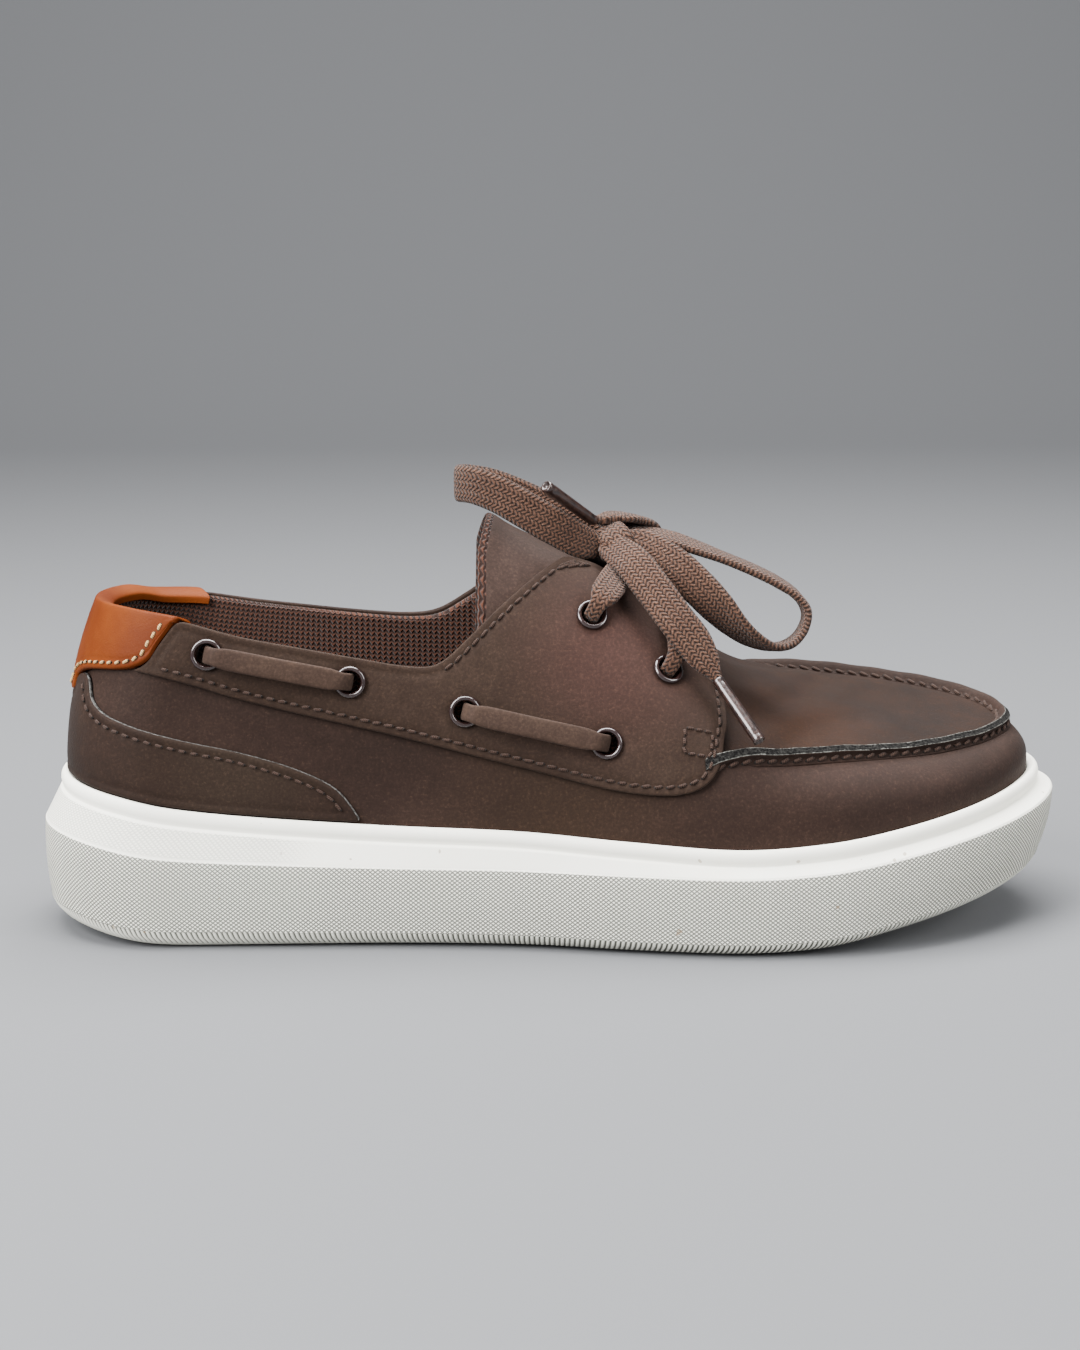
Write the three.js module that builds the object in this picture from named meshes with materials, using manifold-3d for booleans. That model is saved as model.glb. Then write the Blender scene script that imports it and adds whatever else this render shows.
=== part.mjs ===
// A low lace-up deck sneaker for the right foot: a white moulded cup sole, a brown leather upper with a
// raised apron seam, saddle panels laced through eyelets, a heel counter, a tan heel tab and a flat lace
// tied in a bow.
// Millimetres, +Z up, toe towards +X, outer side of the foot towards -Y.
import * as THREE from "three";
import { mergeVertices } from "three/addons/utils/BufferGeometryUtils.js";
import Module from "manifold-3d";

const wasm = await Module();
wasm.setup();

// Driving sizes of the sole.
const soleLength = 300;
const ballWidth = 110; // the widest place of the sole
const heelWall = 45; // height of the sole's rim at the back of the heel
const rimInset = 6; // from the sole's widest line in to the upper, along the sides
const heelInset = 9.2; // the same at the back of the heel
const toeInset = 8.7; // the same at the toe
const heelRound = 38; // how far forward the round of the heel reaches
const toeRound = 78; // how far back the round of the toe reaches
const toeSwing = 7; // how far the toe leans to the inner side
const beadWidth = 3.2; // the round bead along the rim
const beadHeight = 4.5;
const beadGroove = 0.6; // depth of the groove below the bead
const footHeight = 0.15; // the share of the wall's height that the bevel at its foot takes
const ledge = 0.3; // how far the smooth band lies behind the textured wall
const treadDepth = 1.2;
const treadWidth = 2.4;
const treadPitch = 9;
const edgeBevel = 8; // the bevel around the bottom, inwards from the widest line

// Driving sizes of the upper.
const instepRise = 75; // from the rim at the ball to the top of the eyestays
const heelLean = 10.5; // how far forward the back of the heel leans at its top
const heelRise = 50; // height of the leaning back
const leatherWall = 2.2; // leather and lining together
const panelThickness = 1.4;
const tabThickness = 2.1;
const tabTop = 1.2; // the tab's fold stands this far over the collar's edge
const tabInside = 1.6; // and reaches this far down inside it
const tabLining = 1; // its thickness there
const tongueThickness = 4.2;
const insoleThickness = 4;
const seamWidth = 2.2; // the raised apron seam
const seamRise = 3.2;
const seamLean = 1.2; // how far the seam's top leans outwards
const throatWidth = 20; // between the two eyestays
const gap = 0.3; // between touching pieces

// Eyelets, thongs and lace.
const eyeletOuter = 4.5;
const eyeletBore = 3;
const eyeletRise = 1.3;
const eyeletSteps = 10; // flats around an eyelet
const barrelWall = 0.6;
const thongWidth = 5.6;
const thongInEyelet = 4.6; // the thong gathers to this width in an eyelet
const thongThickness = 1.8;
const laceWidth = 10.5;
const laceThickness = 2;
const laceInEyelet = 4.4; // the lace gathers to this width in an eyelet
const laceInKnot = 7.6;
const laceInAglet = 3.2;
const agletRadius = 1.9;
const agletLength = 22;
const holeDip = 1.6; // how deep the ends of thongs and bars sit in their eyelets
// The bars of lace across the throat: over, how high the middle stands above the saddles; ahead, how far
// forward of the eyelets it lies.
const lowerBar = { width: 7.5, over: 1.6, ahead: 0 };
const upperBar = { width: 9.2, over: 1.8, ahead: 12.5 };
const knotPlace = new THREE.Vector3(166, -4, 110.4);
const knotLength = 15;
const knotWidth = 14;
const knotHeight = 9;

const OUTER = -1; // the outer side of the right foot
const INNER = 1;
const stations = 26; // sections along the shoe
const arcSteps = 12; // steps over one section

// The sole in shares: at, of the length; outer and inner, half widths of half the ball width; rim, lift and
// floor, heights of the heel wall; step, the share of the wall's height at which the textured band ends;
// tuck, how far the wall leans in at its foot, of the heel wall.
const soleRows = [
  { at: 0.0, outer: 0.66, inner: 0.66, rim: 1.06, lift: 0.075, floor: 0.6, step: 0.665, tuck: 0.035 },
  { at: 0.03, outer: 0.665, inner: 0.665, rim: 1.02, lift: 0.065, floor: 0.58, step: 0.665, tuck: 0.02 },
  { at: 0.09, outer: 0.675, inner: 0.67, rim: 0.955, lift: 0.015, floor: 0.54, step: 0.665, tuck: 0.0 },
  { at: 0.143, outer: 0.68, inner: 0.68, rim: 0.885, lift: 0.0, floor: 0.51, step: 0.665, tuck: 0.0 },
  { at: 0.22, outer: 0.69, inner: 0.68, rim: 0.83, lift: 0.0, floor: 0.49, step: 0.67, tuck: 0.0 },
  { at: 0.34, outer: 0.71, inner: 0.64, rim: 0.777, lift: 0.0, floor: 0.45, step: 0.675, tuck: 0.0 },
  { at: 0.46, outer: 0.77, inner: 0.66, rim: 0.75, lift: 0.0, floor: 0.41, step: 0.69, tuck: 0.0 },
  { at: 0.56, outer: 0.88, inner: 0.79, rim: 0.71, lift: 0.0, floor: 0.36, step: 0.72, tuck: 0.0 },
  { at: 0.66, outer: 0.97, inner: 0.95, rim: 0.676, lift: 0.0, floor: 0.32, step: 0.75, tuck: 0.0 },
  { at: 0.74, outer: 0.99, inner: 1.01, rim: 0.708, lift: 0.025, floor: 0.34, step: 0.755, tuck: 0.0 },
  { at: 0.82, outer: 0.98, inner: 1.0, rim: 0.785, lift: 0.115, floor: 0.4, step: 0.755, tuck: 0.01 },
  { at: 0.9, outer: 0.96, inner: 0.97, rim: 0.875, lift: 0.21, floor: 0.5, step: 0.74, tuck: 0.03 },
  { at: 0.96, outer: 0.94, inner: 0.95, rim: 0.955, lift: 0.28, floor: 0.58, step: 0.68, tuck: 0.07 },
  { at: 1.0, outer: 0.93, inner: 0.94, rim: 1.0, lift: 0.345, floor: 0.62, step: 0.61, tuck: 0.11 },
];

// The last in shares: at, of the upper's length; crown, height of the ridge above the ball's rim, of the
// instep rise; fullness, the section's squareness; tilt, how much the inner side is higher, of the rise.
// Behind the instep the crown is the closed last that the collar is cut from.
const lastRows = [
  { at: 0.0, crown: 1.8, fullness: 2.0, tilt: 0.0 },
  { at: 0.15, crown: 1.76, fullness: 2.0, tilt: 0.0 },
  { at: 0.3, crown: 1.58, fullness: 2.0, tilt: 0.0 },
  { at: 0.38, crown: 1.37, fullness: 2.0, tilt: 0.0 },
  { at: 0.44, crown: 1.2, fullness: 2.0, tilt: 0.0 },
  { at: 0.54, crown: 1.015, fullness: 2.0, tilt: 0.01 },
  { at: 0.593, crown: 0.845, fullness: 2.15, tilt: 0.03 },
  { at: 0.636, crown: 0.7, fullness: 2.35, tilt: 0.06 },
  { at: 0.668, crown: 0.605, fullness: 2.6, tilt: 0.085 },
  { at: 0.71, crown: 0.51, fullness: 3.0, tilt: 0.1 },
  { at: 0.78, crown: 0.44, fullness: 3.4, tilt: 0.105 },
  { at: 0.87, crown: 0.4, fullness: 3.5, tilt: 0.095 },
  { at: 0.94, crown: 0.375, fullness: 3.4, tilt: 0.06 },
  { at: 1.0, crown: 0.35, fullness: 3.2, tilt: 0.0 },
];
const crownRound = 12; // how far back the round over the toe's tip reaches

// The panels' edges from the side: at, of the sole's length; up, of the instep rise above the ball's rim;
// inner, how much higher the collar is on the inner side.
const toplineRows = [
  { at: -0.1, up: 0.87, inner: 0.0 },
  { at: 0.05, up: 0.865, inner: 0.0 },
  { at: 0.08, up: 0.865, inner: 0.0 },
  { at: 0.105, up: 0.861, inner: -0.022 },
  { at: 0.146, up: 0.84, inner: -0.014 },
  { at: 0.204, up: 0.777, inner: 0.015 },
  { at: 0.258, up: 0.735, inner: 0.033 },
  { at: 0.322, up: 0.687, inner: 0.058 },
  { at: 0.359, up: 0.663, inner: 0.075 },
  { at: 0.386, up: 0.668, inner: 0.085 },
  { at: 0.414, up: 0.76, inner: 0.06 },
  { at: 0.438, up: 0.848, inner: 0.04 },
  { at: 0.462, up: 0.925, inner: 0.025 },
  { at: 0.489, up: 0.998, inner: 0.015 },
  { at: 0.513, up: 1.04, inner: 0.01 },
  { at: 0.544, up: 1.11, inner: 0.0 },
  { at: 0.594, up: 1.6, inner: 0.0 },
];
const saddleLowRows = [
  { at: 0.024, up: 0.705 },
  { at: 0.125, up: 0.64 },
  { at: 0.212, up: 0.54 },
  { at: 0.35, up: 0.408 },
  { at: 0.459, up: 0.3 },
  { at: 0.559, up: 0.218 },
  { at: 0.606, up: 0.214 },
  { at: 0.631, up: 0.25 },
  { at: 0.644, up: 0.32 },
  { at: 0.65, up: 0.42 },
];
const counterTopRows = [
  { at: -0.1, up: 0.62 },
  { at: 0.052, up: 0.62 },
  { at: 0.059, up: 0.53 },
  { at: 0.07, up: 0.49 },
  { at: 0.094, up: 0.455 },
  { at: 0.146, up: 0.398 },
  { at: 0.201, up: 0.35 },
  { at: 0.256, up: 0.28 },
  { at: 0.29, up: 0.205 },
  { at: 0.314, up: 0.07 },
];
const tabLowRows = [
  { at: -0.1, up: 0.52 },
  { at: 0.034, up: 0.53 },
  { at: 0.042, up: 0.597 },
  { at: 0.053, up: 0.63 },
  { at: 0.101, up: 0.662 },
  { at: 0.117, up: 0.695 },
  { at: 0.125, up: 0.745 },
  { at: 0.147, up: 0.87 },
  { at: 0.151, up: 0.93 },
];
const tongueRows = [
  { at: 0.447, up: 1.35 },
  { at: 0.431, up: 1.18 },
  { at: 0.421, up: 1.0 },
  { at: 0.42, up: 0.78 },
  { at: 0.415, up: 0.6 },
  { at: 0.444, up: 0.5 },
  { at: 0.544, up: 0.42 },
  { at: 0.634, up: 0.45 },
  { at: 0.67, up: 0.55 },
  { at: 0.67, up: 0.9 },
];
// The apron seam from above: at, of the sole's length; half, of half the ball width.
const apronRows = [
  { at: 0.629, half: 0.78 },
  { at: 0.674, half: 0.745 },
  { at: 0.724, half: 0.7 },
  { at: 0.784, half: 0.63 },
  { at: 0.844, half: 0.535 },
  { at: 0.894, half: 0.405 },
  { at: 0.924, half: 0.28 },
  { at: 0.941, half: 0.145 },
  { at: 0.947, half: 0.0 },
];

// Eyelets on each side: at, of the sole's length; up, of the instep rise.
const sideEyeletRows = [
  { at: 0.173, up: 0.718 },
  { at: 0.304, up: 0.614 },
  { at: 0.41, up: 0.504 },
  { at: 0.54, up: 0.396 },
];
const throatEyeletRows = [
  { at: 0.599, up: 0.645 },
  { at: 0.529, up: 0.843 },
];

// A smooth curve through one column of a table.
function along(rows, column, at) {
  const last = rows.length - 1;
  const x = Math.min(Math.max(at, rows[0].at), rows[last].at);
  let i = 0;
  while (i < last - 1 && x > rows[i + 1].at) i++;
  const slope = (k) => {
    const a = rows[Math.max(k - 1, 0)];
    const b = rows[Math.min(k + 1, last)];
    return (b[column] - a[column]) / (b.at - a.at);
  };
  const width = rows[i + 1].at - rows[i].at;
  const s = (x - rows[i].at) / width;
  const rise = rows[i + 1][column] - rows[i][column];
  const a = slope(i) * width - rise;
  const b = rise - slope(i + 1) * width;
  return rows[i][column] + s * rise + s * (1 - s) * (a * (1 - s) + b * s);
}

// 0 at the end of a round and 1 where it is complete.
function roundEnd(distance, depth, power = 2) {
  const q = Math.min(Math.max(distance / depth, 0), 1);
  return (1 - (1 - q) ** power) ** (1 / power);
}

function smooth(q) {
  const s = Math.min(Math.max(q, 0), 1);
  return s * s * (3 - 2 * s);
}

const rimHeight = (x) => heelWall * along(soleRows, "rim", x / soleLength);
const liftHeight = (x) => Math.max(heelWall * along(soleRows, "lift", x / soleLength), 0);
const floorHeight = (x) => heelWall * along(soleRows, "floor", x / soleLength);
const centreLine = (x) => toeSwing * smooth((x / soleLength - 0.55) / 0.5) ** 1.2;
const baseHeight = heelWall * 0.652; // the upper's heights start here, at the rim of the ball
const heightOf = (up) => baseHeight + up * instepRise;

// Half width of the sole's widest line at x.
function soleHalf(x, side) {
  const column = side === OUTER ? "outer" : "inner";
  const half = (ballWidth / 2) * along(soleRows, column, x / soleLength);
  return half * roundEnd(x, heelRound, 2.1) * roundEnd(soleLength - x, toeRound, 2.05);
}

const upperStart = heelInset;
const upperEnd = soleLength - toeInset;

// One section of the last, grown outwards by grow: its half widths, heights and shape.
function section(share, grow = 0) {
  const start = upperStart - grow;
  const end = upperEnd + grow;
  const x = start + share * (end - start);
  const full = upperStart + share * (upperEnd - upperStart);
  const column = (side) => (side === OUTER ? "outer" : "inner");
  const rounds =
    roundEnd(x - start, heelRound - heelInset + grow, 2.1) *
    roundEnd(end - x, toeRound - toeInset + grow, 2.05);
  const half = (side) =>
    ((ballWidth / 2) * along(soleRows, column(side), full / soleLength) - rimInset + grow) * rounds;
  const rim = rimHeight(full);
  const crown = baseHeight + instepRise * along(lastRows, "crown", share);
  const crownShare = roundEnd(end - x, crownRound + grow, 2.3);
  return {
    share,
    x,
    rim,
    middle: centreLine(full),
    outer: half(OUTER),
    inner: half(INNER),
    rise: (crown - rim + grow) * crownShare,
    bend: 2 / along(lastRows, "fullness", share),
    tilt: instepRise * along(lastRows, "tilt", share),
  };
}

// The heel's back leans forward with height; the lean fades out towards the middle of the shoe.
function lean(share, z) {
  const q = Math.max((z - heelWall) / heelRise, 0);
  return heelLean * q ** 1.9 * (1 - smooth(share / 0.3));
}

// A point of the section at an angle, 0 at the outer rim, pi at the inner rim.
function onSection(cut, angle) {
  const across = -Math.cos(angle);
  const half = across < 0 ? cut.outer : cut.inner;
  const lifted = Math.max(Math.sin(angle), 0) ** cut.bend;
  const spread = Math.sign(across) * Math.abs(across) ** cut.bend;
  const z = cut.rim + cut.rise * lifted + cut.tilt * spread * lifted;
  return new THREE.Vector3(cut.x + lean(cut.share, z), cut.middle + half * spread, z);
}

// The point of the grown last's side wall at x and z, with its outward normal.
function onWall(x, z, side, grow = 0) {
  const find = (px, pz) => {
    let share = 0.5;
    for (let k = 0; k < 40; k++) {
      const cut = section(share, grow);
      share += (px - cut.x - lean(share, pz)) / (upperEnd - upperStart + 2 * grow);
    }
    const cut = section(share, grow);
    let low = side === OUTER ? 0 : Math.PI;
    let high = Math.PI / 2;
    for (let k = 0; k < 40; k++) {
      const middle = (low + high) / 2;
      if (onSection(cut, middle).z < pz) low = middle;
      else high = middle;
    }
    return onSection(cut, (low + high) / 2);
  };
  const point = find(x, z);
  const step = 0.5;
  const forward = find(x + step, z).sub(find(x - step, z));
  const upward = find(x, z + step).sub(find(x, z - step));
  const normal = forward.cross(upward).normalize();
  if (normal.y * side < 0) normal.negate();
  return { point, normal };
}

// The height of the grown last's top at x and y, forward of the collar.
function onTop(x, y, grow = 0) {
  const share = (x - upperStart + grow) / (upperEnd - upperStart + 2 * grow);
  const cut = section(share, grow);
  let low = 0;
  let high = Math.PI;
  for (let k = 0; k < 40; k++) {
    const middle = (low + high) / 2;
    if (onSection(cut, middle).y < y) low = middle;
    else high = middle;
  }
  return onSection(cut, (low + high) / 2).z;
}

// A closed mesh as a solid; the vertices that it shares are merged.
function solidFrom(positions, indices) {
  const geometry = new THREE.BufferGeometry();
  geometry.setAttribute("position", new THREE.Float32BufferAttribute(positions, 3));
  geometry.setIndex(indices);
  return solidOf(geometry);
}

function solidOf(geometry) {
  const bare = geometry.clone();
  bare.deleteAttribute("normal");
  bare.deleteAttribute("uv");
  const merged = mergeVertices(bare, 1e-4);
  const corners = merged.index.array;
  const kept = [];
  for (let i = 0; i < corners.length; i += 3) {
    const [a, b, c] = corners.slice(i, i + 3);
    if (a !== b && b !== c && c !== a) kept.push(a, b, c);
  }
  const mesh = new wasm.Mesh({
    numProp: 3,
    vertProperties: new Float32Array(merged.attributes.position.array),
    triVerts: new Uint32Array(kept),
  });
  return new wasm.Manifold(mesh);
}

// A solid between rings of points: each ring is closed, and flat fans close both ends.
function loft(rings) {
  const count = rings[0].length;
  const positions = rings.flat().flatMap((p) => [p.x, p.y, p.z]);
  const indices = [];
  for (let r = 0; r < rings.length - 1; r++) {
    for (let i = 0; i < count; i++) {
      const a = r * count + i;
      const b = r * count + ((i + 1) % count);
      indices.push(a, b, b + count, a, b + count, a + count);
    }
  }
  for (const [ring, turned] of [[0, true], [rings.length - 1, false]]) {
    const middle = positions.length / 3;
    const centre = new THREE.Vector3();
    rings[ring].forEach((p) => centre.addScaledVector(p, 1 / count));
    positions.push(centre.x, centre.y, centre.z);
    for (let i = 0; i < count; i++) {
      const a = ring * count + i;
      const b = ring * count + ((i + 1) % count);
      if (turned) indices.push(b, a, middle);
      else indices.push(a, b, middle);
    }
  }
  const made = solidFrom(positions, indices);
  return made.volume() < 0 ? flipped(positions, indices) : made;
}

function flipped(positions, indices) {
  const turned = [];
  for (let i = 0; i < indices.length; i += 3) turned.push(indices[i], indices[i + 2], indices[i + 1]);
  return solidFrom(positions, turned);
}

// The shares of the upper's length at which sections lie, closer together in the rounds of heel and toe.
function stationShares() {
  const shares = [];
  for (let k = 0; k <= stations; k++) {
    const even = k / stations;
    const eased = (1 - Math.cos(Math.PI * even)) / 2;
    shares.push(0.35 * even + 0.65 * eased);
  }
  return shares;
}

// The closed last grown by grow, standing on the cup's floor raised by above.
function lastSolid(grow, above = gap) {
  const rings = stationShares().map((share) => {
    const cut = section(share, grow);
    const ring = [];
    for (let k = 0; k <= arcSteps; k++) ring.push(onSection(cut, (Math.PI * k) / arcSteps));
    const foot = (p) => new THREE.Vector3(p.x, p.y, floorHeight(cut.x) + above);
    ring.push(foot(ring[arcSteps]));
    ring.push(foot(ring[0]));
    return ring;
  });
  return loft(rings);
}

// A prism along Y between two depths, from points given as x and z.
function sidePrism(points, from, to) {
  const shape = new THREE.Shape(points.map((p) => new THREE.Vector2(p.x, p.y)));
  const geometry = new THREE.ExtrudeGeometry(shape, { depth: to - from, bevelEnabled: false });
  geometry.rotateX(Math.PI / 2);
  geometry.translate(0, to, 0);
  return solidOf(geometry);
}

// A prism along Z between two heights, from points given as x and y.
function planPrism(points, from, to) {
  const shape = new THREE.Shape(points.map((p) => new THREE.Vector2(p.x, p.y)));
  const geometry = new THREE.ExtrudeGeometry(shape, { depth: to - from, bevelEnabled: false });
  geometry.translate(0, 0, from);
  return solidOf(geometry);
}

// Points of a table's edge from the side, smoothed, raised by lift(x).
function edgeFrom(rows, lift = () => 0, steps = 2) {
  const point = (row) => {
    const x = row.at * soleLength;
    return new THREE.Vector3(x, heightOf(row.up) + lift(x), 0);
  };
  const curve = new THREE.CatmullRomCurve3(rows.map(point), false, "centripetal");
  return curve.getPoints((rows.length - 1) * steps).map((p) => new THREE.Vector2(p.x, p.y));
}

const far = 400; // beyond the object, for cutting prisms
const sideSpan = (side) => (side === OUTER ? [-far, 0] : [0, far]);

function collarLift(side, x) {
  return side === INNER ? instepRise * along(toplineRows, "inner", x / soleLength) : 0;
}

// The space above the topline on one side, with the line raised by lift.
function aboveTopline(side, lift = 0) {
  const edge = edgeFrom(toplineRows, (x) => lift + collarLift(side, x));
  const end = edge[edge.length - 1];
  edge.push(new THREE.Vector2(end.x, far), new THREE.Vector2(-far, far));
  return sidePrism(edge, ...sideSpan(side));
}

// The slot between the eyestays, from above.
function throatSlot(width, front) {
  const back = soleLength * 0.3;
  const corner = width * 0.3;
  const points = [
    new THREE.Vector2(back, -width / 2),
    new THREE.Vector2(front - corner, -width / 2),
    new THREE.Vector2(front, -width / 2 + corner),
    new THREE.Vector2(front, width / 2 - corner),
    new THREE.Vector2(front - corner, width / 2),
    new THREE.Vector2(back, width / 2),
  ];
  return planPrism(points, baseHeight, far);
}

const saddleFront = soleLength * 0.652;

// The raised seam around the apron: a strip that follows the last's top and leans outwards.
function apronSeam() {
  const line = [];
  const steps = 22;
  for (let k = 0; k <= steps; k++) {
    const turn = Math.PI * (k / steps);
    const forward = Math.sin(turn) ** 0.9;
    const at = apronRows[0].at + (apronRows[apronRows.length - 1].at - apronRows[0].at) * forward;
    const half = (ballWidth / 2) * along(apronRows, "half", at);
    const x = at * soleLength;
    const side = k <= steps / 2 ? OUTER : INNER;
    const y = centreLine(x) + side * Math.max(half, 0);
    line.push(new THREE.Vector3(x, y, onTop(x, y)));
  }
  const rings = line.map((p, i) => {
    const before = line[Math.max(i - 1, 0)];
    const after = line[Math.min(i + 1, line.length - 1)];
    const run = after.clone().sub(before).setZ(0).normalize();
    const across = new THREE.Vector3(run.y, -run.x, 0);
    const corner = (side, out, up) =>
      p.clone().addScaledVector(across, (side * seamWidth) / 2 + out).setZ(p.z + up);
    return [
      corner(-1, 0, -leatherWall / 2),
      corner(1, 0, -leatherWall / 2),
      corner(1, seamLean * 0.5, seamRise * 0.35),
      corner(1, seamLean, seamRise * 0.62),
      corner(-0.6, seamLean, seamRise),
      corner(-1, seamLean * 0.7, seamRise * 0.9),
    ];
  });
  return loft(rings);
}

// Hollow upper: leather and lining as one wall, open at collar and throat and below.
function upperSolid() {
  const hollow = lastSolid(-leatherWall, -2 * gap);
  const underSaddle = new THREE.BoxGeometry(far, far, far);
  underSaddle.translate(saddleFront + gap - far / 2, 0, 0);
  let made = lastSolid(0).add(apronSeam().subtract(solidOf(underSaddle))).subtract(hollow);
  made = made.subtract(aboveTopline(OUTER, -gap)).subtract(aboveTopline(INNER, -gap));
  return made.subtract(throatSlot(throatWidth + 4, saddleFront - 6));
}

// The tab's outline from the side, grown by clear on its free edges.
function tabZone(clear, top) {
  const low = edgeFrom(tabLowRows).map((p) => new THREE.Vector2(p.x + clear, p.y - clear));
  low.push(new THREE.Vector2(low[low.length - 1].x, far), new THREE.Vector2(-far, far));
  return belowTopline(sidePrism(low, -far, far), top);
}

function belowTopline(solid, lift) {
  return solid.subtract(aboveTopline(OUTER, lift)).subtract(aboveTopline(INNER, lift));
}

// Tan tab: outside the heel, folded over the collar's edge and down inside it.
function heelTabSolid() {
  const inner = -leatherWall - gap;
  const block = lastSolid(gap + tabThickness).subtract(lastSolid(inner - tabLining));
  const channel = belowTopline(lastSolid(gap).subtract(lastSolid(inner)), gap);
  const hollow = belowTopline(lastSolid(inner + gap / 2), -tabInside);
  return block.intersect(tabZone(0, tabTop)).subtract(channel).subtract(hollow);
}

// Saddle panel of one side: collar band, eyestay and the rows of eyelets.
function saddleSolid(side) {
  const shell = lastSolid(gap + panelThickness).subtract(lastSolid(gap));
  const low = edgeFrom(saddleLowRows);
  const end = low[low.length - 1];
  low.push(new THREE.Vector2(end.x, far), new THREE.Vector2(low[0].x, far));
  let made = shell.intersect(sidePrism(low, ...sideSpan(side)));
  made = made.subtract(aboveTopline(side)).subtract(throatSlot(throatWidth, saddleFront + 20));
  return made.subtract(tabZone(gap, far));
}

// Counter around the heel, from the rim up to under the tab.
function counterSolid() {
  const shell = lastSolid(gap + panelThickness).subtract(lastSolid(gap));
  const top = edgeFrom(counterTopRows);
  top.push(new THREE.Vector2(top[top.length - 1].x, 0), new THREE.Vector2(top[0].x, 0));
  const zone = sidePrism(top, -far, far).subtract(belowRim());
  return shell.intersect(zone).subtract(tabZone(gap, far));
}

// The space below the rim's line, from the side.
function belowRim() {
  const steps = 30;
  const line = [];
  for (let k = 0; k <= steps; k++) {
    const x = (soleLength * k) / steps;
    line.push(new THREE.Vector2(x, rimHeight(x) + gap));
  }
  line.push(new THREE.Vector2(far, -far), new THREE.Vector2(-far, -far));
  line.push(new THREE.Vector2(-far, heelWall + gap));
  return sidePrism(line, -far, far);
}

// The sides of the sole from below over the bead: out, from the upper's side; z, height. reach: out of the
// widest line.
function wallProfile(x, low, rim, reach) {
  const at = (share) => low + share * (rim - low);
  const tuck = heelWall * along(soleRows, "tuck", x / soleLength);
  const step = at(along(soleRows, "step", x / soleLength));
  const bead = Math.min(beadWidth, reach - 2);
  return [
    { out: reach - edgeBevel - tuck, z: low },
    { out: reach - edgeBevel * 0.35 - tuck, z: at(footHeight * 0.3) },
    { out: reach - 0.3 - tuck * 0.8, z: at(footHeight) },
    { out: reach - tuck * 0.3, z: at(0.4) },
    { out: reach - 0.7, z: step },
    { out: reach - 0.7 - ledge, z: step + 0.4 },
    { out: bead + 0.15, z: rim - beadHeight - 0.5 },
    { out: bead - beadGroove, z: rim - beadHeight },
    { out: bead, z: rim - beadHeight * 0.75 },
    { out: bead, z: rim - beadHeight * 0.3 },
    { out: bead * 0.5, z: rim },
    { out: 0, z: rim - 0.5 },
  ];
}

// One upright section of the sole's wall on one side, from the bottom's edge over the rim to the floor.
function wallSection(share, side) {
  const cut = section(share, gap);
  const across = side === OUTER ? -cut.outer : cut.inner;
  const seat = new THREE.Vector2(cut.x, cut.middle + across);
  const outlineAt = (q) => {
    const x = soleLength * q;
    return new THREE.Vector2(x, centreLine(x) + side * soleHalf(x, side));
  };
  const edge = outlineAt(share);
  const outward = edge.clone().sub(seat);
  const reach = outward.length();
  outward.normalize();
  const x = edge.x;
  const low = liftHeight(x);
  const rim = rimHeight(upperStart + share * (upperEnd - upperStart));
  const at = (distance, z) =>
    new THREE.Vector3(seat.x + outward.x * distance, seat.y + outward.y * distance, z);
  const ring = wallProfile(x, low, rim, reach).map((row) => at(row.out, row.z));
  ring.push(at(0, floorHeight(cut.x)));
  return ring;
}

// The sole's body: rings of wall on both sides, closed across below and across the cup's floor.
function soleSolid() {
  const shares = stationShares();
  const rings = shares.map((share) => {
    const outer = wallSection(share, OUTER);
    const inner = wallSection(share, INNER);
    return [...outer, ...inner.reverse()];
  });
  let made = loft(rings);
  const back = soleLength * 0.1;
  const front = soleLength * 0.72;
  const waist = [soleLength * 0.32, soleLength * 0.5];
  for (let x = back; x < front; x += treadPitch) {
    if (x > waist[0] && x < waist[1]) continue;
    const groove = new THREE.BoxGeometry(treadWidth, ballWidth * 1.2, treadDepth * 2);
    groove.translate(x, 0, 0);
    made = made.subtract(solidOf(groove));
  }
  return made;
}

// Sock liner, on the cup's floor inside the upper.
function insoleSolid() {
  const rings = stationShares().map((share) => {
    const cut = section(share, -leatherWall - gap);
    const low = floorHeight(cut.x) + gap;
    const high = low + insoleThickness * roundEnd(cut.x - upperStart, 6, 2) ** 0.5;
    const outer = cut.middle - cut.outer;
    const inner = cut.middle + cut.inner;
    return [
      new THREE.Vector3(cut.x, outer, low),
      new THREE.Vector3(cut.x, outer, high),
      new THREE.Vector3(cut.x, inner, high),
      new THREE.Vector3(cut.x, inner, low),
    ];
  });
  return loft(rings);
}

// Padded tongue under the eyestays, standing up behind them.
function tongueSolid() {
  const top = -leatherWall - gap;
  const shell = lastSolid(top).subtract(lastSolid(top - tongueThickness, -2 * gap));
  return shell.intersect(sidePrism(edgeFrom(tongueRows), -far, far));
}

// Places a geometry made around +Z so that +Z points along normal and its origin lies at point.
function placed(geometry, point, normal) {
  const turn = new THREE.Quaternion().setFromUnitVectors(new THREE.Vector3(0, 0, 1), normal);
  return geometry.clone().applyQuaternion(turn).translate(point.x, point.y, point.z);
}

// The hole for an eyelet's barrel, through panel and upper.
function eyeletHole(seat) {
  const radius = eyeletBore + barrelWall + gap;
  const length = 2 * (leatherWall + panelThickness + 4);
  const drill = new THREE.CylinderGeometry(radius, radius, length, eyeletSteps);
  drill.rotateX(Math.PI / 2);
  return solidOf(placed(drill, seat.point, seat.normal));
}

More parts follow.
